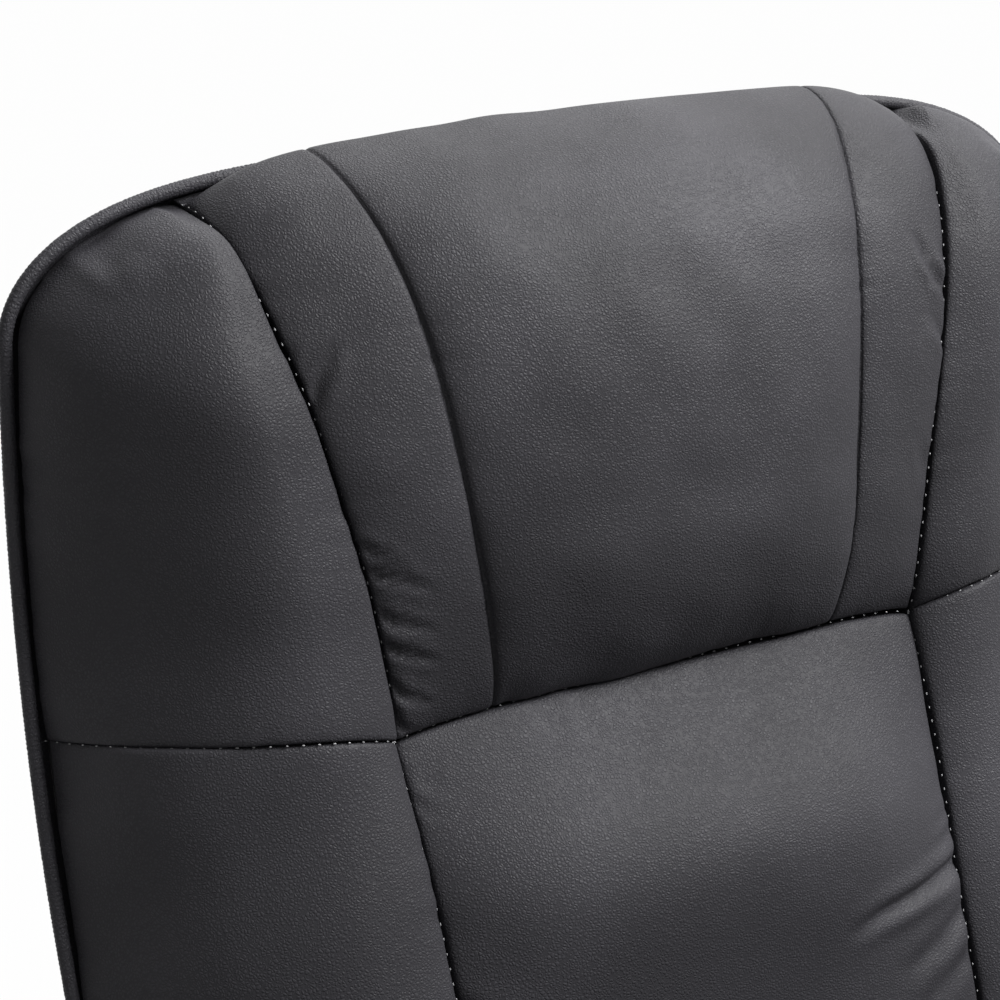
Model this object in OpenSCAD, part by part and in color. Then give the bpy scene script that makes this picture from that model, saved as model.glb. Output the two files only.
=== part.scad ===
// Swivel recliner: a padded reclining back between padded arms, a seat that
// slides forward as the back leans, and a round bentwood base that it turns on.
// Millimetres, +Z up, the chair faces -Y, and the swivel axis is Z.

/* [Base] */
// Outer radius of the bentwood ring
ring_r = 305; // [285:1:330]
// Radial width of the ring
ring_w = 55; // [45:1:65]
// Height of the ring
ring_h = 28; // [22:1:34]
// Number of floor glides
glide_count = 6; // [4:1:8]
// Thickness of a floor glide
glide_h = 5; // [3:0.5:8]
// Width of a bent leg
leg_w = 60; // [50:1:62]
// Thickness of a bent leg
leg_t = 22; // [18:1:24]
// Height of the underside of the hub plate
hub_z = 150; // [142:1:170]
// Radius of the hub plate
hub_r = 112; // [106:1:118]

/* [Swivel] */
// Radius of the swivel spindle
spindle_r = 12; // [10:0.5:14]
// Outer radius of the swivel bush
bush_r = 20; // [18:0.5:22]
// Length of the swivel hub tube
hub_tube_h = 24; // [20:1:30]

/* [Carrier] */
// Thickness of the steel plates of the hub and the swivel
hub_plate_t = 6; // [5:0.5:8]
// Width of the cross tubes
cross_w = 40; // [34:1:46]
// Height of the cross tubes
cross_h = 25; // [20:1:30]
// Distance of each cross tube from the swivel axis
cross_y = 115; // [105:1:125]
// Width and height of the side tubes
rail_w = 30; // [28:1:34]
// Wall of the steel tubes
tube_wall = 2.5; // [2:0.5:3]
// Thickness of the steel side plates
side_plate_t = 4; // [3:0.5:5]

/* [Arms] */
// Thickness of an arm, board and padding together
arm_w = 95; // [85:1:105]
// Thickness of the arm board
board_t = 18; // [15:1:21]
// Height of the top of the arm panels
arm_z = 556; // [540:1:558]
// Height of the bottom edge of the arm panels
arm_low_z = 268; // [262:1:276]
// Reach of the arms ahead of the swivel axis
arm_front = 335; // [320:1:350]
// Thickness of an arm pad
arm_pad_h = 42; // [36:1:43]

/* [Recline] */
// Height of the recline pivots above the bottom of the seat frame
pivot_rise = 181; // [178:1:184]
// Distance of the recline pivots behind the swivel axis
pivot_y = 231; // [228:1:236]
// Lean of the back from upright, as it stands
rest_lean = 20; // [18:0.5:22]
// How far the back reclines from there
recline_travel = 32; // [26:1:33]
// Distance from a pivot down to its drive pin
drive_arm = 130; // [126:1:133]
// Angle of the drive pin behind its pivot, as the chair stands
drive_start = 8; // [6:0.5:10]

/* [Back] */
// Width of the back between the piping grooves at the shoulders
back_w = 584; // [570:1:600]
// Width of the back between the piping grooves where the arms are
back_low_w = 528; // [516:1:538]
// Length of the bent upper part of the back, along its face, up to the piping
back_rise = 325; // [310:1:340]
// Length of the straight lower part of the back
back_drop = 440; // [425:1:444]
// Height from the pivots to where the back starts to bend forward
bend_rise = 290; // [284:1:296]
// Radius of the forward bend of the head part
bend_r = 800; // [720:10:950]
// Depth from the piping to the rear of the back
shell_depth = 55; // [51:1:60]
// Depth of the padding ahead of the piping at the seams
pad_depth = 70; // [64:1:72]
// Radius of the piping
piping_r = 4; // [3:0.25:4.5]
// Half the width of the head pillow at its lower corners
pillow_half = 150; // [144:1:156]
// Half the width of the head pillow's middle panel at its foot
panel_half = 97.5; // [92:0.5:104]
// How far the middle of the head pillow stands ahead of its lower seam
pillow_puff = 38; // [30:1:42]
// How far the crest of the head pillow stands above the piping behind it
crest_over = 19; // [14:1:26]

/* [Seat] */
// Height of the seat frame's rails
frame_h = 40; // [36:1:42]
// Thickness of the seat frame's rails
frame_t = 22; // [18:1:26]
// Reach of the seat frame ahead of the swivel axis
seat_front_y = 385; // [375:1:395]
// Height of the cushion above the webbing at the front
cushion_h = 146; // [136:1:150]
// How much lower the cushion is at the rear
cushion_slope = 20; // [12:1:28]

/* [Hand wheels] */
// Radius of a hand wheel
knob_r = 28; // [24:1:30]
// Thickness of a hand wheel
knob_t = 26; // [22:1:30]
// Radius of the clamp studs
stud_r = 5; // [4:0.25:5.5]

/* [Hidden] */
$fn = 48;
stained_wood = "#3a241b";
bare_wood = "#8a6a4a";
steel = "#1d1d1f";
zinc = "#9a9ca0";
nylon = "#26262a";
leather = "#333336";
cloth = "#202022";

// Clearances: between parts that move past each other, in a running fit, round a bolt, and
// between a soft piece and what it rests on
run_gap = 0.3;
fit_gap = 0.05;
bolt_gap = 0.2;
soft_gap = 0.3;
// How far cuts run past the faces that they open
overrun = 1;
// Fasteners
bolt_r = 4;
bolt_head_r = 8;
bolt_head_h = 3.5;
nut_h = 6;
screw_r = 2.5;
screw_head_r = 5;
screw_head_h = 3;

// Heights of the swivel and the carrier
ring_z = glide_h;
ring_top = ring_z + ring_h;
hub_top = hub_z + hub_plate_t;
thrust_t = 3.7;
hub_tube_z = hub_top + thrust_t + run_gap;
swivel_z = hub_tube_z + hub_tube_h;
cross_z = swivel_z + hub_plate_t;
rail_z = cross_z + cross_h;
rail_top = rail_z + rail_w;
runner_gap = 7;
runner_t = 4;
runner_z = rail_top + runner_gap;
frame_z = runner_z + runner_t;
frame_top = frame_z + frame_h;
strap_t = 1.5;
cushion_z = frame_top + 2 * (strap_t + soft_gap);
pivot_z = frame_z + pivot_rise;

// Distances from the middle of the chair, from the back outwards
low_half = back_low_w / 2;
bracket_gap = 7;
bracket_t = 5;
bracket_x = low_half + 2 * piping_r + bracket_gap;
washer_t = 1.4;
plate_x = bracket_x + bracket_t + washer_t + 2 * run_gap;
arm_x = plate_x + side_plate_t;
lining_t = 3;
board_x = arm_x + lining_t;
arm_soft_x = board_x + board_t + soft_gap;
arm_out_x = arm_x + arm_w;
seat_side_gap = 5;
seat_half = plate_x - seat_side_gap;

// The drive pins and the clamp studs, and what they travel in
pin_r = 6;
pivot_r = 8;
pivot_bush_r = 10;
pin_y = pivot_y + drive_arm * sin(drive_start);
pin_low_z = pivot_z - drive_arm;
pin_high_z = pivot_z - drive_arm * cos(recline_travel - drive_start);
pin_side_gap = 1.2;
pin_end_gap = 1.5;
pin_reach = 4;
quadrant_step = 20;
quadrant_r = drive_arm + quadrant_step;
stud_angle = 30;
stud_y = pivot_y - quadrant_r * sin(stud_angle);
stud_z = pivot_z - quadrant_r * cos(stud_angle);
stud_gap = 0.6;
stop_angle = 0.3;
lug_t = 5;
lug_gap = 4.5;
lug_x = bracket_x - lug_gap - lug_t;

// Shape of the back: its corners, its waist between the arms, and its layers
pivot_depth = 28;
top_corner_rise = 57;
top_corner_power = 5;
corner_s = back_rise - top_corner_rise;
shoulder_draw = 10;
shoulder_s = -30;
waist_top_s = -70;
waist_low_s = -190;
low_corner_r = 40;
top_set_back = 19;
set_back_s = corner_s - 6 * overrun;
board_gap = 15;
back_board_t = 12;
board_inset = 30;
board_top_inset = 43;
panel_t = 5;
band_t = 4;
band_draw = 24;
band_overhang = 5;
band_front = piping_r + soft_gap;

// The back's frame of reference: its origin is on the pivots, the straight part of its face
// runs along Z, and its depth along Y
module on_back() {
    translate([0, pivot_y, pivot_z])
        rotate([-rest_lean, 0, 0])
            children();
}

// A point of the back: across it, along its bent face from the start of the bend, and ahead of it
function on_spine(x, s, d) =
    let (turn = max(s, 0) / bend_r * 180 / PI)
    [
        x,
        (bend_r - d) * cos(turn) - bend_r - pivot_depth,
        bend_rise + min(s, 0) + (bend_r - d) * sin(turn)
    ];

function mix(a, b, f) = a + (b - a) * f;
function clamp(f) = min(max(f, 0), 1);
function ease(f) = (1 - cos(180 * clamp(f))) / 2;
function reversed(list) = [for (i = [len(list) - 1:-1:0]) list[i]];

// Half the width of the back between its grooves, and its top edge at a distance from the middle
function side_half(s) =
    s > shoulder_s
        ? back_w / 2 - shoulder_draw * pow((s - shoulder_s) / (corner_s - shoulder_s), 1.5)
        : mix(back_w / 2, low_half, ease((waist_top_s - s) / (waist_top_s - waist_low_s)));
corner_half = back_w / 2 - shoulder_draw;
function top_edge(x) =
    corner_s + top_corner_rise * sqrt(1 - pow(min(abs(x) / corner_half, 1), top_corner_power));
function corner_point(turn) =
    [corner_half * pow(cos(turn), 2 / top_corner_power), corner_s + top_corner_rise * sin(turn)];
function groove_depth(s) =
    -top_set_back * pow(max(s - set_back_s, 0) / (back_rise - set_back_s), 2);

// The same half width with the rounded lower corners, drawn in by an inset
function edge_half(s, inset) =
    let (
        r = low_corner_r - inset,
        above = (s + back_drop - low_corner_r) / r
    )
    above < 0
        ? low_half - low_corner_r + r * sqrt(max(1 - above * above, 0))
        : side_half(s) - inset;

// The outline's left half, from the foot to the top, and the whole of it
side_steps = 12;
corner_steps = 9;
low_corner_steps = 4;
top_turn = 87;
half_outline = concat(
    [for (i = [0:low_corner_steps - 1])
        let (turn = 90 * i / low_corner_steps)
        [low_half - low_corner_r * (1 - sin(turn)), low_corner_r * (1 - cos(turn)) - back_drop]],
    [for (i = [0:side_steps - 1])
        let (s = mix(low_corner_r - back_drop, corner_s, i / side_steps))
        [side_half(s), s]],
    [for (i = [0:corner_steps])
        corner_point(top_turn * i / corner_steps)]
);
half_count = len(half_outline);
outline = concat(
    half_outline,
    [for (i = [half_count - 1:-1:0]) [-half_outline[i][0], half_outline[i][1]]]
);
outline_count = len(outline);
function outward(i) =
    let (
        a = outline[(i + outline_count - 1) % outline_count],
        b = outline[(i + 1) % outline_count],
        along = (b - a) / norm(b - a)
    )
    [along[1], -along[0]];

// Corners with fillets: each is [y, z, radius], and inset draws the whole outline in
corner_arc_steps = 4;
function turned(a, b) = a[0] * b[1] - a[1] * b[0];
function filleted(corners, inset = 0) =
    let (n = len(corners))
    [for (i = [0:n - 1])
        let (
            here = [corners[i][0], corners[i][1]],
            last = [corners[(i + n - 1) % n][0], corners[(i + n - 1) % n][1]],
            next = [corners[(i + 1) % n][0], corners[(i + 1) % n][1]],
            a = (last - here) / norm(last - here),
            b = (next - here) / norm(next - here),
            bulge = turned(b, a) > 0 ? 1 : -1,
            half = acos(a * b) / 2,
            middle = (a + b) / norm(a + b),
            centre = here + middle * corners[i][2] / sin(half),
            r = corners[i][2] - bulge * inset,
            sweep = 180 - 2 * half,
            start = atan2(-middle[1], -middle[0]) - bulge * sweep / 2
        )
        for (k = [0:corner_arc_steps])
            let (turn = start + bulge * sweep * k / corner_arc_steps)
            centre + r * [cos(turn), sin(turn)]];
function rectangle(w, h, r) =
    filleted([[0, 0, r], [w, 0, r], [w, h, r], [0, h, r]]);

// A closed solid between a front and a rear grid of points, each row by row
module padded_grid(front, rear) {
    rows = len(front);
    cols = len(front[0]);
    behind = rows * cols;
    function at(j, i) = j * cols + i;
    function quad(a, b, c, d) = [[a, b, c], [a, c, d]];
    points = concat([for (row = front) each row], [for (row = rear) each row]);
    faces = concat(
        [for (j = [0:rows - 2]) for (i = [0:cols - 2])
            each quad(at(j, i), at(j + 1, i), at(j + 1, i + 1), at(j, i + 1))],
        [for (j = [0:rows - 2]) for (i = [0:cols - 2])
            each quad(behind + at(j, i), behind + at(j, i + 1),
                behind + at(j + 1, i + 1), behind + at(j + 1, i))],
        [for (i = [0:cols - 2])
            each quad(at(0, i), at(0, i + 1), behind + at(0, i + 1), behind + at(0, i))],
        [for (i = [0:cols - 2])
            each quad(at(rows - 1, i + 1), at(rows - 1, i),
                behind + at(rows - 1, i), behind + at(rows - 1, i + 1))],
        [for (j = [0:rows - 2])
            each quad(at(j + 1, 0), at(j, 0), behind + at(j, 0), behind + at(j + 1, 0))],
        [for (j = [0:rows - 2])
            each quad(at(j, cols - 1), at(j + 1, cols - 1),
                behind + at(j + 1, cols - 1), behind + at(j, cols - 1))]
    );
    polyhedron(points, faces, convexity = 6);
}

// A solid through loops of points, with its ends capped or the last loop joined to the first
module skin(loops, closed = false) {
    rows = len(loops);
    cols = len(loops[0]);
    spans = closed ? rows : rows - 1;
    points = [for (row = loops) each row];
    faces = concat(
        [for (j = [0:spans - 1]) for (i = [0:cols - 1])
            let (
                k = (j + 1) % rows,
                m = (i + 1) % cols,
                a = j * cols + i,
                b = k * cols + i,
                c = k * cols + m,
                d = j * cols + m
            )
            each [[a, b, c], [a, c, d]]],
        closed ? [] : [[for (i = [0:cols - 1]) i]],
        closed ? [] : [[for (i = [cols - 1:-1:0]) (rows - 1) * cols + i]]
    );
    polyhedron(points, faces, convexity = 6);
}

module both_sides() {
    children();
    mirror([1, 0, 0])
        children();
}

// An outline in Y and Z, extruded across the chair from x
module across(x, length) {
    translate([x, 0, 0])
        rotate([90, 0, 90])
            linear_extrude(length)
                children();
}

module peg(x, y, z, length, r) {
    translate([x, y, z])
        rotate([0, 90, 0])
            cylinder(h = length, r = r);
}

module drilled(points, r, h) {
    difference() {
        children();
        for (p = points)
            translate([p[0], p[1], p[2] - overrun])
                cylinder(h = h + 2 * overrun, r = r);
    }
}

// Base: a bentwood ring, four legs bent in an S, and the hub plate with its spindle
leg_count = 4;
leg_turn = 45;
ring_edge = 6;
glide_r = 16;
ring_mid = ring_r - ring_w / 2;
leg_toe = 3;
leg_heel = 5;
leg_foot_in = ring_r - ring_w + leg_heel;
leg_foot_out = ring_r - leg_toe;
leg_root_gap = 2;
leg_root = leg_w / 2 + leg_root_gap;
leg_top_inset = 7;
leg_top_out = hub_r - leg_top_inset;
leg_rise = hub_z - leg_t - ring_top;
leg_run = leg_foot_in - leg_top_out;
leg_bend = 2 * atan(leg_rise / leg_run);
leg_bend_r = leg_run / (2 * sin(leg_bend));
leg_bend_steps = 10;
leg_mid_z = ring_top + leg_t / 2;
hub_bolt_shares = [0.28, 0.78];
hub_bolt_shift = leg_w / 5;
hub_bolt_points = [for (i = [0, 1])
    [mix(leg_root, leg_top_out, hub_bolt_shares[i]), hub_bolt_shift * (1 - 2 * i)]];

function leg_side(out) = concat(
    [[leg_foot_out, leg_mid_z + out]],
    [for (i = [0:leg_bend_steps])
        let (turn = leg_bend * i / leg_bend_steps)
        [
            leg_foot_in - (leg_bend_r - out) * sin(turn),
            leg_mid_z + leg_bend_r - (leg_bend_r - out) * cos(turn)
        ]],
    [for (i = [0:leg_bend_steps])
        let (turn = leg_bend * (1 - i / leg_bend_steps))
        [
            leg_top_out + (leg_bend_r + out) * sin(turn),
            hub_z - leg_t / 2 - leg_bend_r + (leg_bend_r + out) * cos(turn)
        ]],
    [[leg_root, hub_z - leg_t / 2 + out]]
);

module round_legs() {
    for (i = [0:leg_count - 1])
        rotate(leg_turn + i * 360 / leg_count)
            children();
}

module base_ring() {
    color(stained_wood)
        difference() {
            translate([0, 0, ring_z])
                rotate_extrude($fn = 96)
                    translate([ring_r - ring_w, 0])
                        polygon(rectangle(ring_w, ring_h, ring_edge));
            round_legs()
                translate([ring_mid, 0, ring_z + ring_h / 2])
                    cylinder(h = ring_h, r = screw_r + bolt_gap);
        }
}

module base_legs() {
    color(stained_wood)
        round_legs()
            difference() {
                rotate([90, 0, 0])
                    linear_extrude(leg_w, center = true)
                        polygon(concat(leg_side(leg_t / 2), reversed(leg_side(-leg_t / 2))));
                translate([ring_mid, 0, ring_top - overrun])
                    cylinder(h = leg_t + 2 * overrun, r = screw_r + bolt_gap);
                for (p = hub_bolt_points)
                    translate([p[0], p[1], hub_z - leg_t - overrun])
                        cylinder(h = leg_t + 2 * overrun, r = bolt_r + bolt_gap);
            }
}

module floor_glides() {
    color(nylon)
        for (i = [0:glide_count - 1])
            rotate(i * 360 / glide_count)
                translate([ring_mid, 0, 0])
                    cylinder(h = glide_h, r = glide_r);
}

module leg_screws() {
    color(zinc)
        round_legs()
            translate([ring_mid, 0, ring_top]) {
                translate([0, 0, bolt_gap - ring_h / 2])
                    cylinder(h = ring_h / 2 + leg_t, r = screw_r);
                translate([0, 0, leg_t])
                    cylinder(h = screw_head_h, r = screw_head_r);
            }
}

module hub_bolts() {
    color(zinc)
        round_legs()
            for (p = hub_bolt_points)
                translate([p[0], p[1], hub_z]) {
                    translate([0, 0, -leg_t - nut_h])
                        cylinder(h = leg_t + nut_h + hub_plate_t, r = bolt_r);
                    translate([0, 0, hub_plate_t])
                        cylinder(h = bolt_head_h, r = bolt_head_r);
                    translate([0, 0, -leg_t - nut_h])
                        cylinder(h = nut_h, r = bolt_head_r, $fn = 6);
                }
}

module hub_plate() {
    color(steel)
        difference() {
            translate([0, 0, hub_z])
                cylinder(h = hub_plate_t, r = hub_r);
            translate([0, 0, hub_z - overrun])
                cylinder(h = hub_plate_t + 2 * overrun, r = spindle_r);
            round_legs()
                for (p = hub_bolt_points)
                    translate([p[0], p[1], hub_z - overrun])
                        cylinder(h = hub_plate_t + 2 * overrun, r = bolt_r + bolt_gap);
        }
}

lock_nut_h = 9;
lock_washer_t = 2.5;
lock_washer_r = bush_r + lock_washer_t;
lock_z = cross_z + run_gap;
spindle_top = lock_z + lock_washer_t + lock_nut_h;
hub_tube_wall = 10;
hub_tube_r = bush_r + hub_tube_wall;

module spindle() {
    color(zinc)
        translate([0, 0, hub_z])
            cylinder(h = spindle_top - hub_z, r = spindle_r);
}

module thrust_washer() {
    color(nylon)
        drilled([[0, 0, hub_top]], spindle_r + fit_gap, thrust_t)
            translate([0, 0, hub_top])
                cylinder(h = thrust_t, r = hub_tube_r);
}

module spindle_nut() {
    color(zinc)
        drilled([[0, 0, lock_z]], spindle_r, lock_washer_t + lock_nut_h)
            union() {
                translate([0, 0, lock_z])
                    cylinder(h = lock_washer_t, r = lock_washer_r);
                translate([0, 0, lock_z + lock_washer_t])
                    cylinder(h = lock_nut_h, r = bush_r, $fn = 6);
            }
}

// Swivel plate and its bush
swivel_w = 250;
swivel_edge = 18;
swivel_bolt_inset = 25;
swivel_margin = 5;
swivel_l = 2 * (cross_y + swivel_margin) + cross_w;
swivel_bolts = [for (i = [-1, 1]) for (j = [-1, 1])
    [i * (swivel_w / 2 - swivel_bolt_inset), j * cross_y, swivel_z]];

module swivel_plate() {
    color(steel)
        drilled(swivel_bolts, bolt_r + bolt_gap, hub_plate_t)
            drilled([[0, 0, hub_tube_z]], bush_r, hub_tube_h + hub_plate_t)
                union() {
                    translate([0, 0, hub_tube_z])
                        cylinder(h = hub_tube_h, r = hub_tube_r);
                    translate([-swivel_w / 2, -swivel_l / 2, swivel_z])
                        linear_extrude(hub_plate_t)
                            polygon(rectangle(swivel_w, swivel_l, swivel_edge));
                }
}

module swivel_bush() {
    color(nylon)
        drilled([[0, 0, hub_tube_z]], spindle_r + fit_gap, hub_tube_h + hub_plate_t)
            translate([0, 0, hub_tube_z])
                cylinder(h = hub_tube_h + hub_plate_t, r = bush_r);
}

module carrier_bolts() {
    color(zinc)
        for (p = swivel_bolts)
            translate([p[0], p[1], swivel_z]) {
                translate([0, 0, -bolt_head_h])
                    cylinder(h = bolt_head_h, r = bolt_head_r, $fn = 6);
                cylinder(h = hub_plate_t + tube_wall + nut_h, r = bolt_r);
            }
}

// Carrier: tubes, end caps, channels and side plates
rail_x = plate_x - rail_w;
rail_front = 262;
rail_rear = 200;
guide_h = 26;
guide_w = 22;
guide_wall = 2.5;
guide_x = rail_x - guide_w;
guide_z = rail_z + (rail_w - guide_h) / 2;
guide_rear = 150;
arm_bolt_y = [-220, -90, 50];
arm_bolt_z = 305;
rail_bolt_y = [-220, 110];
rail_bolt_z = rail_z + rail_w / 2;
cap_t = 2;
cap_depth = 12;

module tube(size, along) {
    inner = [for (i = [0:2]) i == along ? size[i] + 2 * overrun : size[i] - 2 * tube_wall];
    difference() {
        cube(size);
        translate([for (i = [0:2]) i == along ? -overrun : tube_wall])
            cube(inner);
    }
}

module carrier_frame() {
    color(steel)
        difference() {
            union() {
                for (j = [-1, 1])
                    translate([-plate_x, j * cross_y - cross_w / 2, cross_z])
                        tube([2 * plate_x, cross_w, cross_h], 0);
                for (x = [-plate_x, rail_x])
                    translate([x, -rail_front, rail_z])
                        tube([rail_w, rail_front + rail_rear, rail_w], 1);
            }
            for (p = swivel_bolts)
                translate([p[0], p[1], cross_z - overrun])
                    cylinder(h = tube_wall + 2 * overrun, r = bolt_r + bolt_gap);
            both_sides()
                for (y = rail_bolt_y)
                    peg(plate_x - tube_wall - overrun, y, rail_bolt_z,
                        tube_wall + 2 * overrun, bolt_r + bolt_gap);
        }
}

// A plastic plug in the end of a tube, its flange towards +X
module tube_cap(w, h) {
    translate([0, -w / 2, -h / 2])
        cube([cap_t, w, h]);
    translate([-cap_depth, tube_wall - w / 2, tube_wall - h / 2])
        cube([cap_depth, w - 2 * tube_wall, h - 2 * tube_wall]);
}

module tube_caps() {
    color(nylon)
        both_sides() {
            for (j = [-1, 1])
                translate([plate_x, j * cross_y, cross_z + cross_h / 2])
                    tube_cap(cross_w, cross_h);
            translate([rail_x + rail_w / 2, rail_rear, rail_bolt_z])
                rotate(90)
                    tube_cap(rail_w, rail_w);
            translate([rail_x + rail_w / 2, -rail_front, rail_bolt_z])
                rotate(-90)
                    tube_cap(rail_w, rail_w);
        }
}

module guide_rails() {
    color(steel)
        both_sides()
            translate([guide_x, -rail_front, guide_z])
                difference() {
                    cube([guide_w, rail_front + guide_rear, guide_h]);
                    translate([-overrun, -overrun, guide_wall])
                        cube([
                            guide_w - guide_wall + overrun,
                            rail_front + guide_rear + 2 * overrun,
                            guide_h - 2 * guide_wall
                        ]);
                }
}

pivot_eye_r = 30;
plate_rear_y = pivot_y + 1.15 * pivot_eye_r;
plate_front_top = 330;
plate_corner_r = 20;
side_plate_corners = [
    [-rail_front, rail_z, plate_corner_r / 2],
    [rail_rear, rail_z, plate_corner_r],
    [plate_rear_y, stud_z - plate_corner_r, plate_corner_r],
    [plate_rear_y, pivot_z + pivot_eye_r, pivot_eye_r],
    [pivot_y - 2 * pivot_eye_r, pivot_z + pivot_eye_r, pivot_eye_r],
    [arm_bolt_y[2] + pivot_eye_r, plate_front_top, 2 * plate_corner_r],
    [-rail_front, plate_front_top, plate_corner_r]
];

module side_plate() {
    color(steel)
        difference() {
            across(plate_x, side_plate_t)
                polygon(filleted(side_plate_corners));
            peg(plate_x - overrun, pivot_y, pivot_z, side_plate_t + 2 * overrun, pivot_r);
            peg(plate_x - overrun, stud_y, stud_z, side_plate_t + 2 * overrun, stud_r);
            for (y = arm_bolt_y)
                peg(plate_x - overrun, y, arm_bolt_z, side_plate_t + 2 * overrun, bolt_r + bolt_gap);
            for (y = rail_bolt_y)
                peg(plate_x - overrun, y, rail_bolt_z, side_plate_t + 2 * overrun, bolt_r + bolt_gap);
        }
}

// Arms: each corner is [y, z, fillet], with the notch for the hand wheel at the lower rear
arm_rear = 268;
notch_y = 112;
notch_z = 352;
notch_slope = 22;
arm_corners = [
    [-arm_front, arm_low_z, 46],
    [notch_y - notch_slope, arm_low_z, 24],
    [notch_y, notch_z, 26],
    [arm_rear, notch_z, 34],
    [arm_rear, arm_z, 44],
    [-arm_front, arm_z, 70]
];
board_inset_y = 8;
lining_inset_y = 4;
arm_soft_w = arm_out_x - arm_soft_x;
arm_draw = 40;
// Steps of the padded side: how far it is drawn in, and how far it stands out
arm_draw_shares = [0.12, 0, 0.02, 0.12, 0.34, 0.75, 1];
arm_out_shares = [0, 0.12, 0.55, 0.8, 0.93, 0.985, 1];

module bolted_slab(x, t, inset) {
    difference() {
        across(x, t)
            polygon(filleted(arm_corners, inset));
        for (y = arm_bolt_y)
            peg(x - overrun, y, arm_bolt_z, t + 2 * overrun, bolt_r + bolt_gap);
        peg(x - overrun, pivot_y, pivot_z, t + 2 * overrun, bolt_head_r + pivot_r);
    }
}

module arm_lining() {
    color(leather)
        bolted_slab(arm_x, lining_t, lining_inset_y);
}

module arm_board() {
    color(bare_wood)
        bolted_slab(board_x, board_t, board_inset_y);
}

module arm_panel() {
    color(leather)
        skin([for (i = [0:len(arm_draw_shares) - 1])
            [for (p = filleted(arm_corners, arm_draw * arm_draw_shares[i]))
                [arm_soft_x + arm_soft_w * arm_out_shares[i], p[0], p[1]]]]);
}

arm_pad_over = 6;
arm_pad_nose = 12;
arm_pad_front = arm_front + arm_pad_nose;
arm_pad_rear = 205;
arm_pad_steps = 14;
arm_pad_sides = 16;
arm_pad_power = 3.2;
arm_pad_end_power = 5;
arm_pad_sunk_share = 0.2;
arm_pad_end_shares = [0.72, 0.35];
arm_pad_flat = 0.002;

function swollen(turn, power) =
    [for (v = [cos(turn), sin(turn)]) sign(v) * pow(abs(v), 2 / power)];
function arm_pad_loop(f) =
    let (
        end = swollen(mix(-90, 90, f), arm_pad_end_power),
        half_w = (arm_out_x + arm_pad_over - arm_x) / 2,
        half_h = arm_pad_h * (1 + arm_pad_sunk_share) / 2,
        low_z = arm_z + soft_gap,
        mid_z = low_z + arm_pad_h - half_h,
        y = (arm_pad_rear - arm_pad_front) / 2 + end[1] * (arm_pad_rear + arm_pad_front) / 2
    )
    [for (i = [0:arm_pad_sides - 1])
        let (p = swollen(360 * i / arm_pad_sides, arm_pad_power))
        [
            arm_x + half_w - p[0] * half_w * mix(arm_pad_end_shares[0], 1, end[0]),
            y,
            max(mid_z + p[1] * half_h * mix(arm_pad_end_shares[1], 1, end[0]),
                low_z + arm_pad_flat * (p[1] + 1))
        ]];

module arm_pad() {
    color(leather)
        skin([for (j = [0:arm_pad_steps])
            arm_pad_loop(mix(0.03, 0.97, j / arm_pad_steps))]);
}

arm_bolt_end = 4;
module arm_bolts() {
    color(zinc)
        both_sides()
            for (y = arm_bolt_y) {
                peg(plate_x - bolt_head_h, y, arm_bolt_z, bolt_head_h, bolt_head_r);
                peg(plate_x, y, arm_bolt_z, board_x + board_t - arm_bolt_end - plate_x, bolt_r);
            }
}

// Recline pivots, clamp studs and hand wheels
pivot_head_r = 14;
pivot_head_t = 6;
stud_head_t = 3.5;
stud_head_r = 10;
stud_reach = 24;
clamp_washer_t = 1.2;
stud_end_x = arm_x + stud_reach;
knob_x = arm_x + clamp_washer_t + run_gap;

module pivot_bolts() {
    head_x = bracket_x - run_gap - pivot_head_t;
    color(zinc)
        both_sides() {
            peg(head_x, pivot_y, pivot_z, pivot_head_t, pivot_head_r);
            peg(head_x + pivot_head_t, pivot_y, pivot_z, arm_x - head_x - pivot_head_t, pivot_r);
            peg(arm_x, pivot_y, pivot_z, nut_h, pivot_r + bolt_r);
        }
}

module pivot_washers() {
    color(nylon)
        both_sides()
            difference() {
                peg(bracket_x + bracket_t + run_gap, pivot_y, pivot_z, washer_t, pivot_head_r);
                peg(bracket_x, pivot_y, pivot_z, arm_x - bracket_x, pivot_r + fit_gap);
            }
}

module clamp_studs() {
    head_x = bracket_x - run_gap - stud_head_t;
    color(zinc)
        both_sides() {
            peg(head_x, stud_y, stud_z, stud_head_t, stud_head_r);
            peg(head_x + stud_head_t, stud_y, stud_z, stud_end_x - head_x - stud_head_t, stud_r);
            peg(arm_x, stud_y, stud_z, clamp_washer_t, 2 * stud_r);
        }
}

knob_lobes = 8;
knob_lobe_share = 0.2;
knob_lobe_reach_share = 1.1;
// Half section of a hand wheel: radii and depths
knob_r_shares = [0, 0.55, 0.55, 0.94, 1, 1, 0.9, 0.7, 0];
knob_t_shares = [0, 0, 0.3, 0.38, 0.5, 0.78, 0.94, 1, 1];

module knob() {
    color(nylon)
        difference() {
            translate([knob_x, stud_y, stud_z])
                rotate([0, 90, 0])
                    rotate_extrude()
                        polygon([for (i = [0:len(knob_r_shares) - 1])
                            [knob_r * knob_r_shares[i], knob_t * knob_t_shares[i]]]);
            translate([0, stud_y, stud_z])
                for (i = [0:knob_lobes - 1])
                    rotate([i * 360 / knob_lobes, 0, 0])
                        peg(knob_x + knob_t * knob_t_shares[2], 0, knob_r * knob_lobe_reach_share,
                            knob_t, knob_r * knob_lobe_share);
            peg(knob_x - overrun, stud_y, stud_z, stud_end_x + 2 * overrun - knob_x, stud_r + fit_gap);
        }
}

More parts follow.
